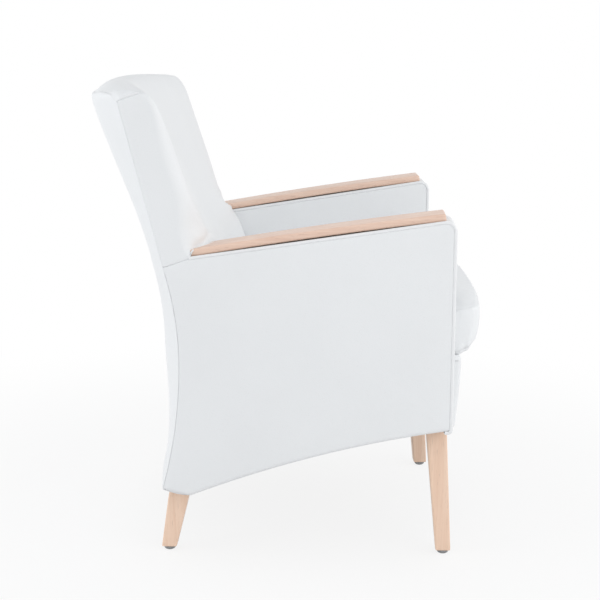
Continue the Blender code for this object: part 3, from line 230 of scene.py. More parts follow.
def timber(name, axis, light, dark, roughness, depth):
    made = Finish(name, light, roughness)
    stretch = drawn_out(axis, *GRAIN)
    grain = made.cloud(made.place(stretch), 1.0, 5.0, 0.62, 0.35)
    fleck = made.cloud(made.place(drawn_out(axis, *FLECK)), 1.0, 2.0, 0.5)
    broad = made.cloud(made.place(scaled(stretch, BROAD)), 1.0, 2.0)
    tone = made.tint(grain.above(0.36, 0.70) * 0.75 + broad * 0.25, light, dark)
    ray = scaled(dark, FLECK_DARK)
    made.feed("Base Color", made.tint(fleck.above(0.60, 0.74) * 0.45, tone, ray))
    made.feed("Roughness", roughness - 0.05 + grain * 0.12)
    made.relief(grain * 0.6 - fleck * 0.4, depth, 0.4)
    return made


BEECH_CAP = timber("beech_cap", 1, CAP_LIGHT, CAP_DARK, 0.40, LACQUERED_DEPTH)
BEECH_LEG = timber("beech_leg", 2, LEG_LIGHT, LEG_DARK, 0.42, LACQUERED_DEPTH)
RAIL_ACROSS = timber("frame_beech_across", 0, RAW_LIGHT, RAW_DARK, 0.7, PLANED_DEPTH)
RAIL_BACK = timber("frame_beech_back", 1, RAW_LIGHT, RAW_DARK, 0.7, PLANED_DEPTH)
RAIL_UP = timber("frame_beech_up", 2, RAW_LIGHT, RAW_DARK, 0.7, PLANED_DEPTH)
for lacquered in (BEECH_CAP, BEECH_LEG):
    lacquered.feed("Coat Weight", 0.12)
    lacquered.feed("Coat Roughness", 0.25)
print("timber", BEECH_CAP.material.name, BEECH_LEG.material.name)

# %% [markdown]
# Inside the cover are plywood sides and foam. They hardly show, but a lifted cushion or a look from below
# reaches them, so each gets the pattern of the real stuff: plies in the plywood's thickness, and open
# cells in the foam, which yellows unevenly with age.

# %% Plywood and foam
PLY = 0.0032


def plywood():
    made = Finish("plywood", (0.68, 0.53, 0.36), 0.65)
    where = made.place()
    ply = (made.axis(where, "X") * (2 * math.pi / PLY)).wave()
    grain = made.cloud(made.place((60.0, 60.0, 4.0)), 1.0, 5.0, 0.6, 0.3)
    tone = made.tint(grain.above(0.3, 0.7), (0.72, 0.57, 0.40), (0.60, 0.44, 0.285))
    made.feed("Base Color", made.tint(ply.above(-0.2, 0.4) * 0.25, tone, (0.42, 0.29, 0.18)))
    made.relief(grain, 0.0003, 0.4)
    return made.material


def foam():
    made = Finish("foam", (0.86, 0.81, 0.64), 0.95)
    where = made.place()
    cells = made.cells(where, 900.0)
    age = made.cloud(where, 14.0, 3.0)
    tone = made.tint(age, (0.88, 0.84, 0.70), (0.80, 0.72, 0.52))
    made.feed("Base Color", made.tint(cells.above(0.3, 0.8), tone, (0.62, 0.55, 0.38)))
    made.relief(cells, 0.0006, 0.8)
    return made.material


PLYWOOD = plywood()
FOAM = foam()
print("plywood and foam", PLYWOOD.name, FOAM.name)

# %% [markdown]
# The webbing, the deck cloth, the dust cover and the tape of the zip are woven. One function serves all of
# them: two sine waves across each other make the threads, and only the spacing and the colours differ.


# %% Woven stuffs
def woven(name, colour, dark, thread, rough, depth):
    """Threads over and under each other, at a spacing in metres."""
    made = Finish(name, colour, rough)
    where = made.place()
    turn = 2 * math.pi / thread
    warp = (made.axis(where, "X") * turn).wave()
    weft = ((made.axis(where, "Y") + made.axis(where, "Z")) * turn).wave()
    weave = warp * weft * 0.5 + 0.5
    slub = made.cloud(where, 60.0, 3.0)
    made.feed("Base Color", made.tint(weave * 0.6 + slub * 0.4, dark, colour))
    made.feed("Roughness", rough - 0.08 + slub * 0.1)
    made.relief(weave, depth, 0.7)
    return made.material


WEBBING = woven("webbing", (0.19, 0.18, 0.17), (0.06, 0.055, 0.05), 0.0022, 0.85, 0.0005)
DECK_CLOTH = woven("deck_cloth", (0.76, 0.76, 0.77), (0.56, 0.56, 0.57), 0.0011, 0.9, 0.0002)
DUST_CLOTH = woven("dust_cloth", (0.060, 0.060, 0.062), (0.025, 0.025, 0.026), 0.0014, 0.95, 0.0002)
ZIP_TAPE = woven("zip_tape", (0.77, 0.77, 0.78), (0.60, 0.60, 0.62), 0.0008, 0.7, 0.0002)
print("woven", WEBBING.name, DECK_CLOTH.name, DUST_CLOTH.name, ZIP_TAPE.name)

# %% [markdown]
# Bolts and screws are steel with a zinc coat, which shows small crystals. The glides are moulded plastic,
# scuffed by the floor, so they are rougher and paler where the scuffs are.


# %% Steel and plastic
def steel():
    made = Finish("zinc_steel", (0.64, 0.64, 0.62), 0.34, 1.0)
    where = made.place()
    spangle = made.cells(where, 420.0)
    made.feed("Base Color", made.tint(spangle, (0.70, 0.70, 0.67), (0.52, 0.53, 0.52)))
    made.feed("Roughness", 0.26 + made.cloud(where, 300.0, 3.0) * 0.2)
    return made.material


def glide_plastic():
    made = Finish("glide_grey", (0.30, 0.31, 0.32), 0.5)
    where = made.place()
    scuff = made.cloud(where, 140.0, 5.0, 0.65)
    low = made.axis(where, "Z").above(0.0, 0.004)
    made.feed("Base Color", made.tint(scuff.above(0.4, 0.75), (0.27, 0.28, 0.29), (0.38, 0.385, 0.39)))
    made.feed("Roughness", 0.62 - low * 0.2 + scuff * 0.12)
    made.relief(scuff, 0.0002, 0.4)
    return made.material


STEEL = steel()
GLIDE = glide_plastic()
print("steel and plastic", STEEL.name, GLIDE.name)

# %% [markdown]
# CAD nodes whose shape is right keep it, and get a finish by name. Two rules cover most of them: the
# start of the name says what the piece is, and rails differ only in which way their grain runs.

# %% Finishes for the frame
FRAME_LOOKS = (
    (STEEL, ("leg_bolt", "cap_screw")),
    (BEECH_LEG.material, ("leg_",)),
    (PLYWOOD, ("side_frame",)),
    (WEBBING, ("back_webbing", "seat_webbing")),
    (RAIL_BACK.material, ("arm_rail", "seat_cleat")),
    (RAIL_UP.material, ("front_post",)),
    (RAIL_ACROSS.material, ("front_rail", "rear_seat_rail", "low_rear_rail")),
    (RAIL_ACROSS.material, ("lumbar_rail", "back_top_rail")),
)
dressed = 0
for name, node in NODES.items():
    for look, starts in FRAME_LOOKS:
        if name.startswith(starts):
            node.data.materials.clear()
            node.data.materials.append(look)
            dressed += 1
            break
print("frame nodes with a finish", dressed)

# %% [markdown]
# The chair has two slanted frames of its own. An arm runs back and slightly inwards, so its pieces are
# drawn in an arm's own x (outwards), y (to the rear) and z. The back leans, so its pieces are drawn in
# x, y (through the back) and z (up the lean) from the shoulder where it sits on the arms. Sizes are in
# millimetres, and two functions turn them into metres in the chair's frame.

# %% Sizes and the two slanted frames
TAPER = math.radians(2.2083)
SLOPE = math.radians(8.4)
RECLINE = math.radians(18.0)
ARM_MID = 280.5
ARM_FRONT = -303.0
HALF_ARM = 37.5
ARM_HEIGHT = 642.0
PIVOT_Y = 164.68
PIVOT_Z = 576.89
SIDES = {"left": 1, "right": -1}


def mix(a, b, t):
    return a + (b - a) * t


def spread(start, end, steps):
    """Even steps from a start to an end, with both of them."""
    return [mix(start, end, i / steps) for i in range(steps + 1)]


def ease(t):
    t = min(max(t, 0.0), 1.0)
    return t * t * (3 - 2 * t)


def bell(t):
    return math.exp(-t * t)


def from_arm(side, x, y, z):
    across = ARM_MID + x * math.cos(TAPER) - y * math.sin(TAPER)
    back = ARM_FRONT + x * math.sin(TAPER) + y * math.cos(TAPER)
    return Vector((side * across, back, z)) * MM


def from_back(x, y, z):
    back = PIVOT_Y + y * math.cos(RECLINE) + z * math.sin(RECLINE)
    up = PIVOT_Z - y * math.sin(RECLINE) + z * math.cos(RECLINE)
    return Vector((x, back, up)) * MM


def roll(distance, radius, depth):
    """How far a leather edge turns in near its seam."""
    t = 1 - min(max(distance, 0.0), radius) / radius
    return depth * (1 - math.sqrt(max(1 - t * t, 0.0)))


def wander(point, scale):
    """A soft fixed noise, from minus one to one, for the unevenness of stuffing."""
    return noise.noise(Vector(point) * scale)


print("shoulder at", from_back(0, 0, 0))

# %% [markdown]
# Most covers are one sheet of leather. A sheet starts as a flat grid, and each of its points is moved to
# its place by a function of its share across and along. Faces are then turned away from the stuffing,
# and a Solidify modifier gives the leather its thickness inwards. A piece is finished in one function:
# it gets its look, rides on its body and hides the CAD nodes that it stands for.


# %% Sheets and finished pieces
def sheet(columns, rows, place):
    bm = bmesh.new()
    bmesh.ops.create_grid(bm, x_segments=columns, y_segments=rows, size=1.0)
    for vertex in bm.verts:
        vertex.co = place((vertex.co.x + 1) / 2, (vertex.co.y + 1) / 2)
    return bm


def face_away(bm, inside):
    """Turns the faces so that they look away from a point of the stuffing."""
    bm.normal_update()
    centre = Vector(inside) * MM
    outward = sum(f.normal.dot(f.calc_center_median() - centre) * f.calc_area() for f in bm.faces)
    if outward < 0:
        bmesh.ops.reverse_faces(bm, faces=bm.faces)


def soften(bm, rounds, chosen=None):
    verts = [v for v in bm.verts if not v.is_boundary and (chosen is None or chosen(v.co))]
    axes = {"use_axis_x": True, "use_axis_y": True, "use_axis_z": True}
    for _ in range(rounds):
        bmesh.ops.smooth_vert(bm, verts=verts, factor=0.5, **axes)


def piece(bm, name, look, slot, stands_for, body="chair", thickness=0.0, sharp=50.0):
    mesh = bpy.data.meshes.new(name)
    bm.to_mesh(mesh)
    bm.free()
    mesh.materials.append(look)
    mesh.polygons.foreach_set("use_smooth", [True] * len(mesh.polygons))
    mesh.set_sharp_from_angle(angle=math.radians(sharp))
    made = bpy.data.objects.new(name, mesh)
    bpy.context.scene.collection.objects.link(made)
    if thickness:
        wall = made.modifiers.new("leather", "SOLIDIFY")
        wall.thickness = thickness * MM
        wall.offset = -1.0
    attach(made, body)
    if stands_for:
        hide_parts(*stands_for)
    print(name, len(mesh.polygons), "faces")
    return made


# %% [markdown]
# The outline of an arm, seen from its side: a straight front, a rounded front top corner, a top that
# slopes down to the rear, a seam under the wing of the back, a rear edge with a waist, and an arched
# lower edge that runs down to the heel. Straight stretches need only their ends, and the rest is formulas.

# %% Lines of the arm
CORNER = 18.0
WAIST = 492.0
WAIST_Z = 385.0
FLARE_TOP = 27.0
FLARE_FOOT = 35.0
SHOULDER_Z = 560.3
HEEL = 475.0
HEEL_LENGTH = 52.0
HEEL_Z = 128.0
FOOT_Z = 139.0
PANEL_FRONT_Z = 258.0
PANEL_ARCH = 15.0


def arm_top(y):
    return ARM_HEIGHT - y * math.tan(SLOPE)


def panel_low(y):
    if y > HEEL:
        return mix(HEEL_Z, FOOT_Z, (y - HEEL) / HEEL_LENGTH)
    t = min(max(y / HEEL, 0.0), 1.0)
    return mix(PANEL_FRONT_Z, HEEL_Z, t) + 4 * PANEL_ARCH * t * (1 - t)


def rear_edge(z):
    if z >= WAIST_Z:
        return WAIST + FLARE_TOP * ((z - WAIST_Z) / (SHOULDER_Z - WAIST_Z)) ** 2
    return WAIST + FLARE_FOOT * ((WAIST_Z - z) / (WAIST_Z - FOOT_Z)) ** 2


def corner_centre(inset):
    radius = CORNER - inset
    y = inset + radius
    return y, arm_top(y) - (inset + radius) / math.cos(SLOPE), radius


def corner_arc(inset, start=0.0, end=1.0, steps=12):
    """Points of the rounded corner, from the front at 0 to the top at 1."""
    y, z, radius = corner_centre(inset)
    turn = math.pi / 2 + SLOPE
    angles = [math.pi - turn * t for t in spread(start, end, steps)]
    return [(y + radius * math.cos(a), z + radius * math.sin(a)) for a in angles]


print("arm corner", corner_centre(0.0))

# %% [markdown]
# Lines are kept as points and walked by their length, so that a sheet's rows fall evenly on them. A panel
# with four edges is filled between four lines by adding the two ways across it and taking off what was
# counted twice, which is how a panel is drafted between its seams.


# %% Walking along lines
def walk(points):
    """A function that gives the point at a share of the length of a line."""
    lengths = [0.0]
    for a, b in zip(points, points[1:]):
        lengths.append(lengths[-1] + math.dist(a, b))

    def at(t):
        goal = t * lengths[-1]
        for i in range(1, len(points)):
            if goal <= lengths[i] or i == len(points) - 1:
                share = (goal - lengths[i - 1]) / max(lengths[i] - lengths[i - 1], 1e-9)
                return tuple(mix(a, b, share) for a, b in zip(points[i - 1], points[i]))

    return at


def heading(line, t):
    """The direction of a line in the arm's side view."""
    a, b = line(max(t - 0.002, 0.0)), line(min(t + 0.002, 1.0))
    size = math.dist(a, b)
    return (b[0] - a[0]) / size, (b[1] - a[1]) / size


def patch(low, high, front, rear):
    """A panel between four lines that meet at its corners."""

    def at(u, w):
        a, b, c, d = low(u), high(u), front(w), rear(w)
        ends = low(0), low(1), high(0), high(1)
        made = []
        for k in range(2):
            straight = mix(mix(ends[0][k], ends[1][k], u), mix(ends[2][k], ends[3][k], u), w)
            made.append(mix(a[k], b[k], w) + mix(c[k], d[k], u) - straight)
        return made

    return at


def crowd(t, share=0.72):
    """Draws the lines of a grid towards its edges, where the leather turns."""
    return mix(t, t * t * (3 - 2 * t), share)


print("half way along two sides of a square", walk([(0, 0), (1, 0), (1, 1)])(0.5))

# %% [markdown]
# A padded panel is almost flat. It swells a little from its edges and turns in sharply where it is sewn,
# so both depend on how far a point is from an edge. The top edge is the only one that needs some thought:
# it follows the rounded corner, the slope of the arm, and the seam under the wing of the back.

# %% Edges of a panel
PANEL_EDGE = 3.2
WING_SEAM = ((471.0, 570.2), (515.8, 555.3))
WING_SEAM_COSINE = 0.95
CALM = 40.0


def top_gap(y, z, inset):
    """Distance below the top edge of a panel that is drawn in from the arm's outline."""
    cy, cz, radius = corner_centre(inset)
    if y < cy and z > cz:
        return radius - math.hypot(y - cy, z - cz)
    (y0, z0), (y1, z1) = WING_SEAM
    if y > y0:
        return (mix(z0, z1, (y - y0) / (y1 - y0)) - z) * WING_SEAM_COSINE
    return (arm_top(y) - z) * math.cos(SLOPE) - inset


def swollen(gap, height, reach):
    """The swell of a padded panel by the distance from its nearest edge."""
    return height * (1 - math.exp(-max(gap, 0.0) / reach))


print("below the top edge", top_gap(240.0, 500.0, PANEL_EDGE))

# %% [markdown]
# The outer arm cover is the large panel of the photograph. It is drawn tight over thin foam. It is sewn
# to the piping, to the wing of the back and to the outside back, and wrapped round the plywood at its
# arched lower edge. The foam under it is the same panel again, set in by the leather.

# %% Outer arm covers
LEATHER_THICK = 1.8
UNDER_LEATHER = 2.4
OUTER_FOAM = 9.0
SKIN = HALF_ARM - 0.8
SEAM_BACK = 0.9
TOP_END = 465.0
OUTER_SWELL = 2.4
OUTER_REACH = 38.0
PIPED_TURN = (3.0, 1.6)
CAPPED_RADIUS = 2.8
CAPPED_DEPTH = 1.1
WINGED_DEPTH = 1.7
WING_START = 464.0
WING_RUN = 8.0
ARM_REAR_TURN = (2.3, 1.3)
WRAPPED_TURN = (8.0, 7.0)


def outer_lines():
    low = [(y, panel_low(y)) for y in spread(PANEL_EDGE, HEEL, 24)]
    foot = rear_edge(FOOT_Z) - SEAM_BACK
    low += [(mix(HEEL, foot, t), mix(HEEL_Z, FOOT_Z, t ** 2)) for t in spread(0.0, 1.0, 4)[1:]]
    front = [(PANEL_EDGE, panel_low(PANEL_EDGE))] + corner_arc(PANEL_EDGE, 0.0, 0.5)
    high = corner_arc(PANEL_EDGE, 0.5, 1.0)
    high += [(TOP_END, arm_top(TOP_END) - PANEL_EDGE / math.cos(SLOPE)), *WING_SEAM]
    rear = [(rear_edge(z) - SEAM_BACK, z) for z in spread(FOOT_Z, WING_SEAM[1][1], 24)]
    return walk(low), walk(high), walk(front), walk(rear)


def outer_cover(side, under=0.0, columns=110, rows=96):
    at = patch(*outer_lines())

    def place(u, w):
        y, z = at(crowd(u), crowd(w))
        front = y - PANEL_EDGE
        top = top_gap(y, z, PANEL_EDGE)
        rear = rear_edge(z) - SEAM_BACK - y
        low = z - panel_low(y)
        gap = min(front, top, rear, low)
        top_depth = mix(CAPPED_DEPTH, WINGED_DEPTH, ease((y - WING_START) / WING_RUN))
        turned = roll(front, *PIPED_TURN) + roll(top, CAPPED_RADIUS, top_depth)
        turned += roll(rear, *ARM_REAR_TURN) + roll(low, *WRAPPED_TURN)
        uneven = 0.5 * wander((y, z, side * 40), 0.011) * ease(gap / CALM)
        swell = swollen(gap, OUTER_SWELL, OUTER_REACH)
        return from_arm(side, SKIN - under + swell - min(turned, 8.0) + uneven, y, z)

    bm = sheet(columns, rows, place)
    face_away(bm, from_arm(side, 0, 240, 400) / MM)
    return bm


for word, side in SIDES.items():
    made = piece(outer_cover(side), "arm_outer_leather_" + word, LEATHER, "leather_white",
                 ["arm_outer_cover_" + word], thickness=LEATHER_THICK)
    piece(outer_cover(side, UNDER_LEATHER, 40, 36), "arm_outer_padding_" + word, FOAM, "foam",
          ["arm_outer_foam_" + word], thickness=OUTER_FOAM)

# %% [markdown]
# The inner arm cover faces the sitter. It is the same kind of panel, padded more, and it runs down
# behind the cushion to the seat deck and back behind the side of the backrest.

# %% Inner arm covers
INNER_LOW = 371.0
INNER_REAR = 452.0
INNER_SWELL = 1.6
INNER_REACH = 30.0
INNER_FOAM = 12.0


def inner_lines():
    drop = PANEL_EDGE / math.cos(SLOPE)
    low = [(PANEL_EDGE, INNER_LOW), (INNER_REAR, INNER_LOW)]
    front = [(PANEL_EDGE, INNER_LOW)] + corner_arc(PANEL_EDGE, 0.0, 0.5)
    high = corner_arc(PANEL_EDGE, 0.5, 1.0) + [(INNER_REAR, arm_top(INNER_REAR) - drop)]
    rear = [(INNER_REAR, INNER_LOW), (INNER_REAR, arm_top(INNER_REAR) - drop)]
    return walk(low), walk(high), walk(front), walk(rear)


def inner_cover(side, under=0.0, columns=90, rows=64):
    at = patch(*inner_lines())

    def place(u, w):
        y, z = at(crowd(u), crowd(w))
        front = y - PANEL_EDGE
        top = top_gap(y, z, PANEL_EDGE)
        gap = min(front, top)
        turned = roll(front, *PIPED_TURN) + roll(top, *PIPED_TURN)
        uneven = 0.6 * wander((y, z, side * 90), 0.013) * ease(gap / CALM)
        swell = swollen(gap, INNER_SWELL, INNER_REACH)
        return from_arm(side, -(SKIN - under + swell - min(turned, 5.0) + uneven), y, z)

    bm = sheet(columns, rows, place)
    face_away(bm, from_arm(side, 0, 240, 500) / MM)
    return bm


for word, side in SIDES.items():
    made = piece(inner_cover(side), "arm_inner_leather_" + word, LEATHER, "leather_white",
                 ["arm_inner_cover_" + word], thickness=LEATHER_THICK)
    piece(inner_cover(side, UNDER_LEATHER, 40, 30), "arm_inner_padding_" + word, FOAM, "foam",
          ["arm_inner_foam_" + word], thickness=INNER_FOAM)

# %% [markdown]
# A border runs up the front of each arm, round its top corner and back along the top under the cap.
# It is one strip between two lines of piping, rounded forward at the front and held flat by the cap.

# %% Arm borders
BORDER_HALF = 32.2
BORDER_REAR = 476.0
BORDER_FOOT = [(13.0, 251.5), (4.0, 252.0), (1.0, 254.0)]
BORDER_SWELL = 2.2


def border_line():
    points = BORDER_FOOT + [(0.0, PANEL_FRONT_Z)] + corner_arc(0.0, 0.0, 1.0, 16)
    points.append((BORDER_REAR, arm_top(BORDER_REAR)))
    return walk(points)


def border(side):
    line = border_line()

    def place(u, w):
        across = mix(-1.0, 1.0, u)
        y, z = line(w)
        along = heading(line, w)
        open_front = 1 - ease((y - 8.0) / 12.0)
        swell = BORDER_SWELL * (1 - across ** 4) * open_front - 0.4
        swell += 0.35 * wander((across * 30, z, side * 20), 0.02) * open_front
        swell -= roll(BORDER_HALF * (1 - abs(across)), *PIPED_TURN)
        return from_arm(side, BORDER_HALF * across, y - along[1] * swell, z + along[0] * swell)

    bm = sheet(22, 190, place)
    face_away(bm, from_arm(side, 0, 240, 400) / MM)
    return bm


for word, side in SIDES.items():
    piece(border(side), "arm_border_leather_" + word, LEATHER, "leather_white",
          ["arm_border_" + word], thickness=LEATHER_THICK)

# %% [markdown]
# Piping is a strip of leather sewn round a cord. It is a tube along the arm's edge line, so its sheet is
# closed round the cord and its two edges are merged. At the tight corner the leather crowds into small
# wrinkles across the cord, which are a ripple in the tube's radius.

# %% Piping
CORD = 3.1
CORD_INSET = 0.9
CORD_REAR = 470.0
CORD_FOOT = [(12.0, 254.8), (5.0, 255.2), (2.0, 257.0)]
CORD_STRAIGHT = 261.0
PIPING_X = 34.9
WRINKLE = 0.035


def cord_line(rear):
    points = CORD_FOOT + [(CORD_INSET, CORD_STRAIGHT)] + corner_arc(CORD_INSET, 0.0, 1.0, 16)
    points.append((rear, arm_top(rear) - CORD_INSET / math.cos(SLOPE)))
    return walk(points)


def cord(side, x, rear):
    line = cord_line(rear)
    middle = corner_centre(0.0)

    def place(u, w):
        y, z = line(w)
        along = heading(line, w)
        turn = 2 * math.pi * u
        near = bell(math.hypot(y - middle[0] * 0.4, z - middle[1] - 12.0) / 16.0)
        size = CORD * (1 + WRINKLE * near * math.sin(w * 900.0))
        lift = size * math.cos(turn)
        return from_arm(side, x + size * math.sin(turn), y - along[1] * lift, z + along[0] * lift)

    bm = sheet(18, 240, place)
    bmesh.ops.remove_doubles(bm, verts=bm.verts, dist=0.00002)
    bmesh.ops.holes_fill(bm, edges=[e for e in bm.edges if e.is_boundary])
    bmesh.ops.recalc_face_normals(bm, faces=bm.faces)
    return bm


for word, side in SIDES.items():
    for kind, x, rear in (("outer", PIPING_X, CORD_REAR), ("inner", -PIPING_X, INNER_REAR)):
        piece(cord(side, x, rear), f"piping_{kind}_cord_{word}", PIPING_LEATHER, "piping_white",
              [f"piping_{kind}_{word}"])

# %% [markdown]
# An arm cap is a planed strip of beech with eased edges. It is bowed up slightly, so that a thin shadow
# shows under the middle of it, and its rear end runs into the wing of the back. A cube is stretched,
# its edges are bevelled, it is cut across at even steps so that it can bend, and then laid on the arm.

# %% Arm caps
CAP_FRONT = 17.0
CAP_REAR = 470.0
CAP_HALF = 30.0
CAP_THICK = 13.0
CAP_EASE = 3.2
CAP_BOW = 3.0
CAP_LIFT = 0.3
CAP_STEPS = 30


def on_arm_top(side, x, y, lift):
    return from_arm(side, x, y + lift * math.sin(SLOPE), arm_top(y) + lift * math.cos(SLOPE))


def cap(side):
    bm = bmesh.new()
    bmesh.ops.create_cube(bm, size=1.0)
    length = CAP_REAR - CAP_FRONT
    bmesh.ops.scale(bm, vec=(2 * CAP_HALF, length, CAP_THICK), verts=bm.verts)
    bmesh.ops.bevel(bm, geom=bm.edges[:], offset=CAP_EASE, segments=5, profile=0.5,
                    affect="EDGES", material=-1)
    for step in range(1, CAP_STEPS):
        whole = bm.verts[:] + bm.edges[:] + bm.faces[:]
        at = (0.0, length * (step / CAP_STEPS - 0.5), 0.0)
        bmesh.ops.bisect_plane(bm, geom=whole, dist=0.0001, plane_co=at, plane_no=(0.0, 1.0, 0.0))
    for vertex in bm.verts:
        t = vertex.co.y / length + 0.5
        lift = CAP_LIFT + 4 * CAP_BOW * t * (1 - t) + vertex.co.z + CAP_THICK / 2
        vertex.co = on_arm_top(side, vertex.co.x, CAP_FRONT + length * t, lift)
    bmesh.ops.recalc_face_normals(bm, faces=bm.faces)
    return bm


for word, side in SIDES.items():
    piece(cap(side), "arm_cap_beech_" + word, BEECH_CAP.material, "beech", ["arm_cap_" + word], sharp=30.0)

# %% [markdown]
# The back leans, and its front is a line that is full at the small of the sitter's back, sets back above
# it and rounds over the top: softly in the middle, tightly at the ridge on each side. Across, the front is
# hollowed, and the rear and the top are bowed.

# %% The form of the back
HALF_BACK = 298.0
BACK_HEIGHT = 294.0
SHOULDER = 53.6
SEAM_TOP = 33.3
TUCK = -83.0
LUMBAR_Z = -43.0
LUMBAR_RUN = 92.0
LUMBAR_FRONT = 57.0
RIDGE_FRONT = 32.0
LEAN_START = 150.0
TOP_LEAN = 2.0
TIGHT_START = 0.36
TIGHT_RUN = 0.22
TOP_ROUND = 64.0
RIDGE_ROUND = 48.0
TOP_SET_IN = 36.0
RIDGE_SET_IN = 18.0
HOLLOW_START = -60.0
HOLLOW_LOW = 10.0
HOLLOW_TOP = 43.0
BOW_POWER = 2.6
ARCH_TOP = 32.0


def seam_depth(z):
    return mix(SHOULDER, SEAM_TOP, z / BACK_HEIGHT)


def ridge_line(z, s=0.0):
    """The front of the back at a height, from its middle at 0 to its side seam at 1."""
    forward = -mix(LUMBAR_FRONT, RIDGE_FRONT, ease((z - LUMBAR_Z) / LUMBAR_RUN))
    forward += TOP_LEAN * ease((z - LEAN_START) / (BACK_HEIGHT - LEAN_START))
    if z < TUCK:
        forward += (TUCK - z) * math.tan(RECLINE)
    tight = ease((s - TIGHT_START) / TIGHT_RUN)
    radius = mix(TOP_ROUND, RIDGE_ROUND, tight)
    over = (z - BACK_HEIGHT + radius) / radius
    if over > 0:
        set_in = mix(TOP_SET_IN, RIDGE_SET_IN, tight)
        forward += set_in * (1 - math.sqrt(max(1 - over * over, 0.0)))
    return forward


def hollow(z):
    return mix(HOLLOW_LOW, HOLLOW_TOP, ease((z - HOLLOW_START) / (BACK_HEIGHT - HOLLOW_START)))


def bow(x):
    return 1 - min(abs(x) / HALF_BACK, 1.0) ** BOW_POWER


def arch(x, z):
    return ARCH_TOP * (max(z, 0.0) / BACK_HEIGHT) ** 2 * bow(x)


print("top of the back", from_back(0, ridge_line(BACK_HEIGHT), BACK_HEIGHT + ARCH_TOP))

# %% [markdown]
# The inside back is one padded cover. Across, it goes from a side seam along a flat side, round a soft
# ridge, through a shallow hollow and round the far ridge. Upwards it starts narrow between the arms,
# steps out into wings that sit on the arms, rises along the lean, rounds over the top and ends in the
# seam of the outside back. Each row of the sheet is one such section, and the rows carry its changes.

# %% Sections of the back
NARROW_HALF = 222.8
NARROW_ROUND = 20.0
NARROW_REAR = 2.0
ROUND_POWER = 2.0
WING_FOOT = -5.5
WING_RISE = 120.0
WING_ROUND = (70.0, 51.0, 1.3)
SLIM_START = 170.0
SLIM_LOW = 28.0
SLIM_TOP = 9.0
DART = 3.0
DART_RUN = 3.0
FRONT_SHARE = 0.54
RIDGE_SHARE = 0.80
SIDE_TURN = (2.3, 1.5)
WING_TURN = (2.6, 1.8)


def section(s, z, wide):
    """A point of the section at a height, from its middle at 0 to its side seam at 1."""
    if wide:
        t = ease(z / WING_RISE) ** 0.8
        slim = mix(SLIM_LOW, SLIM_TOP, ease((z - SLIM_START) / (BACK_HEIGHT - SLIM_START)))
        width, depth, power = (mix(a, b, t) for a, b in zip(WING_ROUND, (slim, slim, ROUND_POWER)))
        half = HALF_BACK - roll(BACK_HEIGHT - z, DART_RUN, DART)
        rear = seam_depth(z) - SEAM_BACK
    else:
        width, depth, power, half = NARROW_ROUND, NARROW_ROUND, ROUND_POWER, NARROW_HALF
        rear = NARROW_REAR - min(z - LUMBAR_Z, 0.0) * math.tan(RECLINE)
    front = ridge_line(z, s)
    reach = half - width
    if s <= FRONT_SHARE:
        x = reach * s / FRONT_SHARE
        dip = (math.cos(math.pi * x / 2 / reach) ** 2 + 1 - (x / reach) ** 2) / 2
        return x, front + hollow(z) * dip
    if s <= RIDGE_SHARE:
        angle = math.pi / 2 * (1 - (s - FRONT_SHARE) / (RIDGE_SHARE - FRONT_SHARE))
        out = max(math.cos(angle), 0.0) ** (2 / power)
        back = max(math.sin(angle), 0.0) ** (2 / power)
        return reach + width * out, front + depth * (1 - back)
    t = 1 - (1 - (s - RIDGE_SHARE) / (1 - RIDGE_SHARE)) ** 2
    x, y = half, mix(front + depth, rear, t)
    if wide:
        x -= roll(rear - y, *SIDE_TURN) + roll(z - WING_FOOT, *WING_TURN)
    return x, y


print("ridge half way up", section(RIDGE_SHARE, BACK_HEIGHT / 2, True))

# %% [markdown]
# The seam along the rear of the top is where the inside and the outside back meet. It is bowed to the
# rear, stands highest a little way in from each corner, and drops into the corner where the dart pulls.

# %% Top seam of the back
TOP_Y = 287.2
TOP_Z = 846.2
BOW_TOP = 81.3
REAR_RISE = 3.5
CORNER_LIFT = 12.0
CORNER_RUN = 30.0
SETTLE = 0.75
SETTLE_START = 60.0
SETTLE_RUN = 120.0
TOP_ROLL = 10.0
ROLL_RUN = 70.0
TOP_TURN = (2.2, 0.6)


def corner_rise(edge):
    """The lift of the top seam by its distance from the corner, where the dart pulls it down."""
    return CORNER_LIFT * ease(edge / CORNER_RUN) * (1 - SETTLE * ease((edge - SETTLE_START) / SETTLE_RUN))


def corner_roll(edge):
    """How far the outside back rolls forward over the rear of the top."""
    return TOP_ROLL * ease(edge / ROLL_RUN)


def rear_top(x):
    """A point of the top seam, which drops into the corner at each side."""
    share = bow(x)
    edge = HALF_BACK - abs(x)
    back = TOP_Y + BOW_TOP * share - corner_roll(edge)
    return Vector((x, back, TOP_Z + REAR_RISE * share + corner_rise(edge))) * MM


print("top seam in the middle and at a corner", rear_top(0.0), rear_top(HALF_BACK))

# %% [markdown]
# The rows of the sheet: plain ones between the arms, a quick step out to the wings, close ones at the
# foot of the wings where the leather is pinched over the caps, and close ones again over the top edge.
# The corner of the top is sewn into a dart, which shows as a thin groove with puffed leather above it.

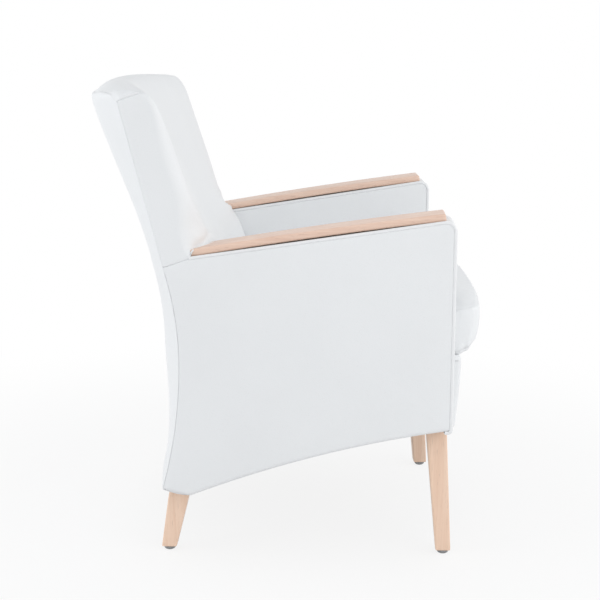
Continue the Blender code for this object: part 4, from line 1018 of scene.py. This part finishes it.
# %% Rows of the back cover
BACK_LOWEST = -199.0
FOOT_ROWS = [WING_FOOT, -4.8, -3.9, -2.6, -0.8, 1.2, 3.2, 5.4, 7.8, 10.6]
TOP_RUN = 40.0
NARROW_ROWS = spread(BACK_LOWEST, TUCK, 9)[:-1] + spread(TUCK, -14.0, 16) + [-9.0]
WIDE_ROWS = FOOT_ROWS + spread(14.0, BACK_HEIGHT - TOP_RUN, 44)
WIDE_ROWS += [BACK_HEIGHT - TOP_RUN * (1 - ease(i / 14) ** 0.8) for i in range(3, 15)]
ROWS = [(z, False) for z in NARROW_ROWS] + [(z, True) for z in WIDE_ROWS]
TOP_ROWS = [0.015, 0.035, 0.06, 0.09, 0.13, 0.18, 0.24, 0.32, 0.41]
TOP_ROWS += [0.51, 0.61, 0.71, 0.80, 0.87, 0.92, 0.96, 0.985, 1.0]
COLUMNS = 120
ON_CAP = 9.5
ON_CAP_SLOPE = 0.17
CAP_INNER = 230.0
PUFF = 4.5
CROWN = 8.0


def wing_foot(x, y):
    """The lowest that a wing reaches: on the cap at the front, on the arm behind the cap."""
    on_cap = mix(ON_CAP + ON_CAP_SLOPE * y, WING_FOOT, ease((y + 5.0) / 9.0))
    return mix(WING_FOOT, on_cap, ease((abs(x) - CAP_INNER) / 8.0))


def back_row(z, wide):
    row = []
    for i in range(COLUMNS + 1):
        s = 2 * i / COLUMNS - 1
        x, y = section(abs(s), z, wide)
        x = math.copysign(x, s)
        up = max(z, wing_foot(x, y)) + arch(x, z) if wide else z
        row.append(from_back(x, y, up))
    return row


def back_rows():
    rows = [back_row(z, wide) for z, wide in ROWS]
    edge = rows[-1]
    lengths = [0.0]
    for a, b in zip(edge, edge[1:]):
        lengths.append(lengths[-1] + (b - a).length)
    for t in TOP_ROWS:
        row = []
        for i, (start, length) in enumerate(zip(edge, lengths)):
            x = mix(-HALF_BACK, HALF_BACK, length / lengths[-1])
            end = rear_top(x)
            gap = (end - start).length / MM
            at = start.lerp(end, t)
            darted = ease((abs(2 * i / COLUMNS - 1) - RIDGE_SHARE + 0.16) / 0.10)
            past = gap * t
            fade = darted * ease(gap * (1 - t) / 12.0)
            puff = PUFF * fade * (1 - math.exp(-past / 4.0))
            lip = DART * fade * (1 - math.exp(-past / 1.1)) * bell(past / 16.0)
            crown = CROWN * math.sin(math.pi * t) * bow(x) + puff
            at.x += math.copysign(lip, at.x) * MM
            at.z += (crown - roll(gap * (1 - t), *TOP_TURN)) * MM
            row.append(at)
        rows.append(row)
    return rows


print("back rows", len(ROWS) + len(TOP_ROWS), "columns", COLUMNS)

# %% [markdown]
# Then come the marks of the upholsterer's hand: a dimple where the leather is pushed in behind the inner
# end of each cap, a groove and a lip along the cap, folds that fan up from the dimple, and a slight
# unevenness in the stuffing. They are small moves of the points along the way that the surface faces.

# %% Marks of the hand
DIMPLE_ACROSS = 238.0
DIMPLE_UP = 14.0
DIMPLE_DEPTH = 8.0
GROOVE_DEPTH = 3.0
LIP_HEIGHT = 1.4
FOLD_HEIGHT = 0.9
UNEVEN = 0.8


def in_back(at):
    """How far behind the back's pivot a point lies, and how high, in the frame that leans with it."""
    behind, above = at.y - PIVOT_Y, at.z - PIVOT_Z
    lean, rise = math.sin(RECLINE), math.cos(RECLINE)
    return behind * rise - above * lean, behind * lean + above * rise


def hand_marks(across, y, z):
    """How far the marks move the leather outwards at a place on the back."""
    dx, dz = across - DIMPLE_ACROSS, z - DIMPLE_UP
    reach = math.hypot(dx, dz)
    depth = 0.0
    if y < 12.0:
        depth -= DIMPLE_DEPTH * bell(math.hypot(dx / 15.0, dz / 8.0))
        pinched = ease((across - 226.0) / 10.0) * ease((292.0 - across) / 12.0)
        depth -= GROOVE_DEPTH * bell((z - 10.0) / 5.0) * pinched
        depth += LIP_HEIGHT * bell((z - 30.0) / 16.0) * bell((across - 258.0) / 22.0)
    if z > 4.0 and y < 10.0:
        angle = math.atan2(dz, -dx)
        fan = math.sin(angle * 7.0 + 0.8) * bell((reach - 34.0) / 26.0)
        depth += FOLD_HEIGHT * fan * ease(reach / 18.0)
    return depth


def mark_back(bm):
    bm.normal_update()
    moves = {}
    for vertex in bm.verts:
        at = vertex.co / MM
        y, z = in_back(at)
        depth = hand_marks(abs(at.x), y, z) + UNEVEN * wander((at.x, z, y * 0.3), 0.012)
        moves[vertex] = depth if 0.0 < z < BACK_HEIGHT - 12.0 else depth * 0.25
    for vertex, depth in moves.items():
        if not vertex.is_boundary:
            vertex.co += vertex.normal * depth * MM


print("deepest in the dimple", hand_marks(DIMPLE_ACROSS, 0.0, DIMPLE_UP))

# %% [markdown]
# The rows become one sheet. The faces that would close the step from the narrow part out to the wings are
# taken out, because the wings are open below. The full parts are softened, and then the marks go in.


# %% Inside back
def step_faces(bm):
    """The faces across the step from the narrow part out to the wings."""
    foot = from_back(0, 0, NARROW_ROWS[-1] - 0.5).z
    chosen = []
    for face in bm.faces:
        xs = sorted(abs(v.co.x) / MM for v in face.verts)
        crosses = xs[0] < NARROW_HALF + 1.0 and xs[-1] > HALF_BACK - 6.0
        if crosses and face.calc_center_median().z > foot - 0.03:
            chosen.append(face)
    return chosen


def is_full(co):
    """Whether a point is softened: all above the arms, but only the middle of the top."""
    on_top = co.z > 0.82 and abs(co.x) < 0.24
    return on_top or PIVOT_Z + 4.0 < co.z / MM < TOP_Z - 24.0


def inside_back():
    rows = back_rows()
    last = len(rows) - 1
    bm = sheet(COLUMNS, last, lambda u, w: rows[round(w * last)][round(u * COLUMNS)])
    bm.normal_update()
    opened = step_faces(bm)
    bmesh.ops.delete(bm, geom=opened, context="FACES")
    bmesh.ops.remove_doubles(bm, verts=bm.verts, dist=0.00005)
    face_away(bm, from_back(0, 60, 120) / MM)
    soften(bm, 3, is_full)
    mark_back(bm)
    print("open faces", len(opened))
    return bm


SOFT_BACK = ["back_cover"] + [name for name in NODES if name.startswith(("back_foam", "back_side_pad"))]
back_leather = piece(inside_back(), "back_leather", LEATHER, "leather_white", SOFT_BACK,
                     thickness=LEATHER_THICK)

# %% [markdown]
# The outside back is one sheet, bowed to the rear. It is sewn to the arms and the inside back along
# each side, so both its side edges and its top edge turn in there and make a thin groove.

# %% Outside back
BOW_WAIST = 46.0
BOW_FOOT = 14.0
SIDE_GROOVE = (2.6, 1.7)
ROLL_DEPTH = 15.0


def bow_at(z):
    if z >= SHOULDER_Z:
        return mix(BOW_WAIST, BOW_TOP, ease((z - SHOULDER_Z) / (TOP_Z - SHOULDER_Z)))
    return mix(BOW_FOOT, BOW_WAIST, ease((z - FOOT_Z) / (WAIST_Z + 15.0 - FOOT_Z)))


def side_seam():
    """Points up the side seam, in millimetres: across, back and up."""
    arm = [from_arm(1, HALF_ARM, rear_edge(z), z) for z in spread(FOOT_Z, SHOULDER_Z, 24)[:-1]]
    back = [from_back(HALF_BACK, seam_depth(z), z) for z in spread(0.0, BACK_HEIGHT, 24)]
    return [tuple(at / MM) for at in arm + back]


def outside_back():
    line = walk(side_seam())

    def place(u, w):
        half, y, z = line(crowd(w, 0.5))
        across = math.sin(math.pi / 2 * (2 * u - 1))
        share = 1 - abs(across) ** BOW_POWER
        top = ease((z - SHOULDER_Z) / (TOP_Z - SHOULDER_Z))
        edge = half * (1 - abs(across))
        lift = (REAR_RISE * share + corner_rise(edge)) * top - roll(TOP_Z - z, *TOP_TURN)
        inward = roll(edge, *SIDE_GROOVE)
        turned = roll(TOP_Z - z, ROLL_DEPTH, corner_roll(edge)) + roll(z - FOOT_Z, *WRAPPED_TURN)
        calm = ease(edge / CALM) * ease((TOP_Z - z) / CALM)
        uneven = 0.9 * wander((across * half, z, 300), 0.009) * calm
        x = across * half - math.copysign(inward * 0.9, across)
        return Vector((x, y + bow_at(z) * share - inward * 0.7 - turned + uneven, z + lift)) * MM

    bm = sheet(96, 130, place)
    face_away(bm, (0.0, 0.0, 500.0))
    return bm


made = piece(outside_back(), "outside_back_leather", LEATHER, "leather_white",
             ["outside_back_cover"], thickness=LEATHER_THICK)

# %% [markdown]
# The front border is the padded strip under the cushion, between the arms. Its leather comes from under
# the seat rail, over the foam and back under the cushion, so its sheet follows that path round the pad.

# %% Front border
PAD_HALF = 241.0
PAD_REAR = -301.0
PAD_START = [(-299.0, 243.0), (-307.0, 240.0)]
LOW_ROUND = (-309.0, 247.5, 8.0)
PAD_FRONT = [(-321.0, 290.0), (-324.0, 330.0), (-325.5, 360.0)]
HIGH_ROUND = (-313.5, 368.5, 12.0)
PAD_END = [(-303.5, 372.0), (-301.0, 367.0)]
PAD_SWELL = 2.6
PAD_TURN = (9.0, 7.5)


def pad_line():
    points = PAD_START[:]
    y, z, radius = LOW_ROUND
    for angle in spread(0.0, math.pi / 2, 7)[1:]:
        points.append((y - radius * math.sin(angle), z - radius * math.cos(angle)))
    points += PAD_FRONT
    y, z, radius = HIGH_ROUND
    for angle in spread(0.0, math.pi * 0.62, 9)[1:]:
        points.append((y - radius * math.cos(angle), z + radius * math.sin(angle)))
    return walk(points + PAD_END)


def front_border():
    line = pad_line()

    def place(u, w):
        across = mix(-1.0, 1.0, crowd(u))
        y, z = line(w)
        end = PAD_HALF * (1 - abs(across))
        front = ease((-306.0 - y) / 12.0)
        swell = (PAD_SWELL * (1 - across ** 6) + 0.5 * wander((across * 240, z, 700), 0.02)) * front
        if u < 0.0001 or u > 0.9999:
            return Vector((across * PAD_HALF, PAD_REAR, z)) * MM
        return Vector((across * PAD_HALF, y - swell + roll(end, *PAD_TURN) * front, z)) * MM

    bm = sheet(110, 60, place)
    face_away(bm, (0.0, -303.0, 310.0))
    return bm


made = piece(front_border(), "front_border_leather", LEATHER, "leather_white",
             ["front_border_cover", "front_border_foam"], thickness=LEATHER_THICK)

# %% [markdown]
# The loose seat cushion is boxed: a top panel, a band round the sides and a bottom panel, sewn together
# along two seams. Its sides follow the arms, which come nearer to each other towards the rear. Its front
# is a nose that is bowed in plan, and both seams rise towards it.

# %% The outline of the cushion
SEAT_HALF = 242.97
CUSHION_GAP = 4.0
CUSHION_REAR = 84.0
NOSE_Y = -370.0
CORNER_X = 240.0
FRONT_BOW = 13.0
SEAM_HIGH = 460.0
SEAM_LOW = 384.0
SEAM_RISE = 15.0


def cushion_half(y):
    return SEAT_HALF - (max(y, ARM_FRONT) - ARM_FRONT) * math.tan(TAPER) - CUSHION_GAP


def nose(c):
    """The front of the cushion, from its lower seam at -1 to its top seam at 1."""
    return NOSE_Y + 5.0 * c * c - 4.0 * c


def top_seam(x, y):
    """The height of the top seam, which rises to the front, and a little less so at the corners."""
    return SEAM_HIGH + (SEAM_RISE - 2.0 * (x / CORNER_X) ** 2) * ease((-285.0 - y) / 65.0)


def low_seam(y):
    return SEAM_LOW + SEAM_RISE * ease((-312.0 - y) / 40.0)


def front_bow(x):
    """How far the front falls back from its middle to its corners."""
    return FRONT_BOW * (x / CORNER_X) ** 2


print("cushion", CUSHION_REAR - nose(0.0), "long", 2 * cushion_half(ARM_FRONT), "wide")

# %% [markdown]
# A cube is cut into a grid and shaped into that box, with a crowned top and rounded corners. A second
# function tells how far any point is from the nearer seam, which the stuffing and the sewing both need.

# %% The box of the cushion
CUSHION_BASE = 371.6
CUSHION_TOP = 494.0
PLAN_CORNER = 26.0


def plan(a, b, front):
    """A point of the rounded plan of the cushion, from shares across and along."""
    y = mix(front, CUSHION_REAR, (b + 1) / 2)
    half = cushion_half(y)
    x = a * half
    out = abs(x) - (half - PLAN_CORNER)
    end = max(front + PLAN_CORNER - y, y - CUSHION_REAR + PLAN_CORNER)
    if out > 0 and end > 0:
        size = math.hypot(out, end)
        fit = min(max(out, end) / size, 1.0)
        x = math.copysign(half - PLAN_CORNER + out * fit, x)
        y += (end * fit - end) * (1 if b > 0 else -1)
    lead = min(max((-b - 0.2) / 0.8, 0.0), 1.0) ** 2
    return x, y + lead * front_bow(x)


def cushion_box():
    bm = bmesh.new()
    bmesh.ops.create_cube(bm, size=2.0)
    bmesh.ops.subdivide_edges(bm, edges=bm.edges[:], cuts=31, use_grid_fill=True)
    for vertex in bm.verts:
        a, b, c = vertex.co
        a, b = math.sin(math.pi / 2 * a), math.sin(math.pi / 2 * b)
        x, y = plan(a, b, nose(c))
        z = mix(low_seam(y), top_seam(x, y), (c + 1) / 2)
        if c > 0.999:
            reach = (abs(a) ** 9 + abs(b) ** 9) ** (1 / 9)
            z = mix(z, CUSHION_TOP, max(1 - reach ** 3.2, 0.0) ** 0.6)
        elif c < -0.999:
            z = mix(CUSHION_BASE, z, max(abs(a) ** 14, abs(b) ** (8 if b < 0 else 14)))
        vertex.co = Vector((x, y, z)) * MM
    return bm


def seam_gap(at):
    """Distance in millimetres of a point from the nearer of the two seams round the cushion."""
    gaps = []
    for front, height in ((nose(1.0), top_seam(at.x, at.y)), (nose(-1.0), low_seam(at.y))):
        out = cushion_half(at.y) - abs(at.x)
        end = min(at.y - front - front_bow(at.x), CUSHION_REAR - at.y)
        inner = min(out, end)
        if out < PLAN_CORNER and end < PLAN_CORNER:
            inner = PLAN_CORNER - math.hypot(PLAN_CORNER - out, PLAN_CORNER - end)
        gaps.append(math.hypot(inner, at.z - height))
    return min(gaps)


print("seam gap on the crown", seam_gap(Vector((0.0, 0.0, CUSHION_TOP))))

# %% [markdown]
# The stuffing is a cloth simulation: the box is remeshed, its seams are pinned, and air pressure swells
# the panels between them, which is what foam does to a sewn cover. It runs for twenty frames with no
# gravity. No point may move more than a few millimetres, so the result is the same cushion, fuller.

# %% Stuffing the cushion
PRESSURE = 4.0
FRAMES = 20
MOST = 7.0
VOXEL = 5.6
STIFFNESS = 25.0
PIN_REACH = 6.0


def evaluated(made):
    view = bpy.context.evaluated_depsgraph_get()
    return bpy.data.meshes.new_from_object(made.evaluated_get(view))


def remeshed(bm, size):
    mesh = bpy.data.meshes.new("cushion_start")
    bm.to_mesh(mesh)
    bm.free()
    start = bpy.data.objects.new("cushion_start", mesh)
    bpy.context.scene.collection.objects.link(start)
    voxels = start.modifiers.new("voxels", "REMESH")
    voxels.mode = "VOXEL"
    voxels.voxel_size = size * MM
    made = evaluated(start)
    bpy.data.objects.remove(start)
    return made


def stuffed(mesh):
    body = bpy.data.objects.new("cushion_sim", mesh)
    bpy.context.scene.collection.objects.link(body)
    rest = [v.co.copy() for v in mesh.vertices]
    pins = body.vertex_groups.new(name="seams")
    for vertex in mesh.vertices:
        at = vertex.co / MM
        hold = bell(seam_gap(at) / PIN_REACH)
        if at.z < CUSHION_BASE + 4.0 or at.y > CUSHION_REAR - 3.0:
            hold = 1.0
        if hold > 0.1:
            pins.add([vertex.index], min(hold * 1.2, 1.0), "REPLACE")
    cloth = body.modifiers.new("stuffing", "CLOTH")
    cloth.settings.vertex_group_mass = "seams"
    cloth.settings.use_pressure = True
    cloth.settings.uniform_pressure_force = PRESSURE
    cloth.settings.tension_stiffness = STIFFNESS
    cloth.settings.compression_stiffness = STIFFNESS
    cloth.settings.bending_stiffness = 2.0
    cloth.settings.quality = 6
    cloth.settings.effector_weights.gravity = 0.0
    cloth.point_cache.frame_start = 1
    cloth.point_cache.frame_end = FRAMES
    for step in range(1, FRAMES + 1):
        bpy.context.scene.frame_set(step)
    made = evaluated(body)
    for vertex, start in zip(made.vertices, rest):
        move = vertex.co - start
        if move.length > MOST * MM:
            vertex.co = start + move.normalized() * MOST * MM
    bpy.data.objects.remove(body)
    bpy.context.scene.frame_set(1)
    return made


cushion_mesh = remeshed(cushion_box(), VOXEL)
cushion_mesh = stuffed(cushion_mesh)
print("cushion points", len(cushion_mesh.vertices))

# %% [markdown]
# The seams go in after the simulation, because a remesh wipes out anything finer than its voxels. Points
# near a seam are drawn in to make its groove, and the leather beside the lower seam at the nose gathers
# into small puckers. The points are then kept clear of the arms, the back and the deck. Each seam also
# gets a band of painted shade, which darkens the leather along its groove.

# %% Seams of the cushion
SEAM_GROOVE = 2.2
SEAM_REACH = 3.2
LOW_PUCKER = 1.1
HIGH_PUCKER = 0.5
# Width of the band of painted shade along each seam.
SEAM_SHADE_WIDTH = 2.4


def sew(bm):
    bm.normal_update()
    moves = {}
    for vertex in bm.verts:
        at = vertex.co / MM
        gap = seam_gap(at)
        depth = -SEAM_GROOVE * bell(gap / SEAM_REACH)
        ahead = ease((-295.0 - at.y) / 40.0)
        along = at.x if abs(at.x) < 205.0 else at.y
        low = at.z - low_seam(at.y)
        high = at.z - top_seam(at.x, at.y)
        gathers = math.sin(along * 0.33 + 1.7 * wander((at.x, at.y, 9), 0.03))
        depth += LOW_PUCKER * gathers * bell(low / 15.0) * ahead
        depth += HIGH_PUCKER * math.sin(along * 0.21 + 0.6) * bell(high / 14.0) * ahead
        depth += 1.0 * wander((at.x, at.y, at.z + 50), 0.014)
        moves[vertex] = depth
    for vertex, depth in moves.items():
        vertex.co += vertex.normal * depth * MM
        at = vertex.co / MM
        half = cushion_half(at.y) + 1.5
        at.x = min(max(at.x, -half), half)
        at.y = min(at.y, CUSHION_REAR + 1.2)
        at.z = max(at.z, CUSHION_BASE - 0.6)
        vertex.co = at * MM


bm = bmesh.new()
bm.from_mesh(cushion_mesh)
bmesh.ops.subdivide_edges(bm, edges=bm.edges[:], cuts=1, use_grid_fill=True, smooth=1.0)
soften(bm, 3)
# The seam attribute is painted shade: a darker band of leather along each seam, where its groove is.
line = bm.verts.layers.float.new("seam")
for vertex in bm.verts:
    vertex[line] = bell(seam_gap(vertex.co / MM) / SEAM_SHADE_WIDTH)
sew(bm)
cushion = piece(bm, "seat_cushion_leather", LEATHER, "leather_white",
                ["seat_cushion_cover", "seat_cushion_foam"], "seat_cushion", sharp=80.0)

# %% [markdown]
# Two cloths close the seat: a deck of strong cotton over the webbing, and a black dust cover below. Each
# is a single sheet that is stapled along its edges, so the outline of its CAD solid is its cut. One face
# of that solid is copied, cut finer, and let sag a little between the edges that hold it.


# %% Deck and dust cover
def cloth(node, up, sag):
    bm = bmesh.new()
    bm.from_mesh(NODES[node].data)
    bmesh.ops.remove_doubles(bm, verts=bm.verts, dist=0.00002)
    bm.normal_update()
    other = [face for face in bm.faces if face.normal.z * up < 0.5]
    bmesh.ops.delete(bm, geom=other, context="FACES")
    edge = [v.co.copy() for v in bm.verts]
    low = Vector([min(co[k] for co in edge) for k in range(3)])
    high = Vector([max(co[k] for co in edge) for k in range(3)])
    bmesh.ops.subdivide_edges(bm, edges=bm.edges[:], cuts=11, use_grid_fill=True)
    for vertex in bm.verts:
        across = (vertex.co.x - low.x) / (high.x - low.x)
        along = (vertex.co.y - low.y) / (high.y - low.y)
        hung = 16 * across * (1 - across) * along * (1 - along)
        vertex.co.z -= (sag * hung + 0.25 * wander(vertex.co / MM, 0.03) * hung) * MM
    return bm, sum(face.calc_area() for face in bm.faces), high - low


CLOTH_THICK = 0.8
CLOTHS = (
    ("seat_deck", 1, 0.5, DECK_CLOTH, "deck_cloth", ["seat_webbing", "front_rail", "rear_seat_rail"]),
    ("dust_cover", -1, 3.0, DUST_CLOTH, "dust_cloth", ["front_rail", "low_rear_rail"]),
)
for node, up, sag, look, slot, holders in CLOTHS:
    bm, area, size = cloth(node, up, sag)
    made = piece(bm, node + "_cloth", look, slot, [node], thickness=CLOTH_THICK)
    flat = (size.x, math.hypot(size.y, size.z))
    min(area, flat[0] * flat[1])
    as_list(holders)
    print(node, "flat", flat, "area", area)

# %% [markdown]
# A glide is a moulded dome nailed under each leg. Its half outline is turned once round the leg's foot.

# %% Glides
GLIDE_OUTLINE = ((0.0, 0.0), (5.4, 0.0), (7.6, 0.45), (9.3, 1.5), (10.5, 3.0), (11.0, 4.8), (11.0, 6.6),
                 (10.7, 7.4), (10.0, 7.7), (0.0, 7.7))


def glide(node):
    low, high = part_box(node)
    middle = (low + high) / 2
    bm = bmesh.new()
    line = [bm.verts.new((r * MM + middle.x, middle.y, z * MM)) for r, z in GLIDE_OUTLINE]
    edges = [bm.edges.new(pair) for pair in zip(line, line[1:])]
    centre = (middle.x, middle.y, 0.0)
    bmesh.ops.spin(bm, geom=line + edges, cent=centre, axis=(0, 0, 1), angle=2 * math.pi,
                   steps=40, use_merge=True)
    bmesh.ops.remove_doubles(bm, verts=bm.verts, dist=0.00002)
    bmesh.ops.recalc_face_normals(bm, faces=bm.faces)
    return bm


for node in [name for name in NODES if name.startswith("glide_")]:
    piece(glide(node), node + "_dome", GLIDE, "glide_grey", [node], sharp=35.0)

# %% [markdown]
# The cover of the cushion closes with a zip at the rear: a woven tape, two rows of teeth that mesh, and
# a slider. The teeth are small blocks along the tape, each second one set a little higher.

# %% Zip
TOOTH = (1.5, 1.0, 2.2)
PITCH = 2.0
MESHED = 0.55
TAPE_THICK = 0.9
TAPE_END = 4.0
SLIDER = (7.0, 2.0, 5.2)


def block(bm, size, at):
    made = bmesh.ops.create_cube(bm, size=1.0)["verts"]
    bmesh.ops.scale(bm, vec=size, verts=made)
    bmesh.ops.translate(bm, vec=at, verts=made)


def zip_fastener():
    low, high = (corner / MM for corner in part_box("seat_cushion_zip"))
    width = high.x - low.x
    rear = high.y + 0.4
    middle = (low.z + high.z) / 2
    bm = bmesh.new()
    block(bm, (width, TAPE_THICK, high.z - low.z), (0.0, rear, middle))
    for i in range(int((width - 2 * TAPE_END) / PITCH)):
        up = MESHED if i % 2 else -MESHED
        block(bm, TOOTH, (low.x + TAPE_END + PITCH * i, rear + 0.7, middle + up))
    block(bm, SLIDER, (low.x + 2 * TAPE_END, rear + 0.9, middle))
    for vertex in bm.verts:
        vertex.co *= MM
    return bm


piece(zip_fastener(), "seat_cushion_zip_teeth", ZIP_TAPE, "zip_white", ["seat_cushion_zip"],
      "seat_cushion", sharp=30.0)

# %% [markdown]
# The floor is a disc of pale paper. What the camera sees of it is nearly white, as in a studio cut-out,
# and quite white away from the chair, so that the chair still leaves a faint shadow beside its legs.


# %% Floor
def stage_floor():
    bm = bmesh.new()
    bmesh.ops.create_circle(bm, cap_ends=True, segments=96, radius=4.0)
    mesh = bpy.data.meshes.new("floor")
    bm.to_mesh(mesh)
    bm.free()
    floor = bpy.data.objects.new("floor", mesh)
    bpy.context.scene.collection.objects.link(floor)
    paper = Finish("floor_paper", (0.82, 0.82, 0.82), 0.9)
    where = paper.place()
    path = paper.tree.nodes.new("ShaderNodeLightPath")
    rays = ("Is Camera Ray", "Is Glossy Ray", "Is Transmission Ray")
    seen = sum((Wire(paper, path.outputs[ray]) for ray in rays), 0.0)
    far = paper.add("ShaderNodeVectorMath", {"operation": "LENGTH"}, {0: where}, "Value")
    share = (0.84 + far.above(0.5, 1.5) * 0.16) * seen
    glow = paper.add("ShaderNodeEmission", {}, {"Color": (1.0, 1.0, 1.0, 1.0), "Strength": 1.0})
    lit = Wire(paper, paper.shader.outputs[0])
    both = paper.add("ShaderNodeMixShader", {}, {0: share, 1: lit, 2: glow})
    paper.tree.links.new(both.socket, paper.tree.nodes["Material Output"].inputs["Surface"])
    mesh.materials.append(paper.material)


stage_floor()

# %% [markdown]
# The surround is white to camera, glossy and transmission rays. To all others it is a dimmer, slightly
# cool light from all sides.


# %% Surround
def surround():
    world = bpy.data.worlds.new("studio")
    bpy.context.scene.world = world
    world.use_nodes = True
    tree = world.node_tree
    light = tree.nodes["Background"]
    light.inputs["Color"].default_value = (0.965, 0.98, 1.0, 1.0)
    light.inputs["Strength"].default_value = 0.70
    white = tree.nodes.new("ShaderNodeBackground")
    white.inputs["Color"].default_value = (1.0, 1.0, 1.0, 1.0)
    white.inputs["Strength"].default_value = 1.0
    path = tree.nodes.new("ShaderNodeLightPath")
    seen = path.outputs["Is Camera Ray"]
    for ray in ("Is Glossy Ray", "Is Transmission Ray"):
        either = tree.nodes.new("ShaderNodeMath")
        either.operation = "MAXIMUM"
        tree.links.new(seen, either.inputs[0])
        tree.links.new(path.outputs[ray], either.inputs[1])
        seen = either.outputs[0]
    both = tree.nodes.new("ShaderNodeMixShader")
    tree.links.new(seen, both.inputs[0])
    tree.links.new(light.outputs[0], both.inputs[1])
    tree.links.new(white.outputs[0], both.inputs[2])
    tree.links.new(both.outputs[0], tree.nodes["World Output"].inputs["Surface"])


surround()
print("surround", bpy.context.scene.world.name)

# %% [markdown]
# Three large lamps shape the chair: one from the side that the camera sees, one from the front and one
# from the rear. They are large, so their shadows are soft.

# %% Lamps
LAMPS = (
    ("side_light", (-2.2, -2.2, 1.7), (0.0, 0.0, 0.5), (2.2, 1.8), 24.0, (1.0, 0.993, 0.98)),
    ("front_light", (-0.3, -3.2, 1.6), (0.0, 0.0, 0.5), (2.2, 1.8), 15.0, (1.0, 0.995, 0.985)),
    ("rear_light", (-1.0, 3.2, 1.4), (0.0, 0.1, 0.5), (2.4, 1.8), 34.0, (0.98, 0.99, 1.0)),
)


def softbox(name, place, aim, size, power, colour):
    lamp = bpy.data.lights.new(name, "AREA")
    lamp.shape = "RECTANGLE"
    lamp.size, lamp.size_y = size
    lamp.energy = power
    lamp.color = colour
    made = bpy.data.objects.new(name, lamp)
    bpy.context.scene.collection.objects.link(made)
    made.location = place
    made.rotation_euler = (Vector(aim) - Vector(place)).to_track_quat("-Z", "Y").to_euler()


for lamp in LAMPS:
    softbox(*lamp)
print("lamps", len(LAMPS))

# %% [markdown]
# The camera stands square to the sitter's right side and a little above the arms, as the photograph was
# taken, with a lens that fits its perspective.

# %% Camera
LENS = 80.4
SENSOR = 36.0
EYE = (-2.625, -0.0285, 1.0)
TILT = 77.8
HEADING = -90.0

lens = bpy.data.cameras.new("camera")
lens.lens = LENS
lens.sensor_width = SENSOR
camera = bpy.data.objects.new("camera", lens)
bpy.context.scene.collection.objects.link(camera)
camera.location = EYE
camera.rotation_euler = (math.radians(TILT), 0.0, math.radians(HEADING))
bpy.context.scene.camera = camera
bpy.context.scene.view_settings.view_transform = "Standard"
print("camera at", EYE)
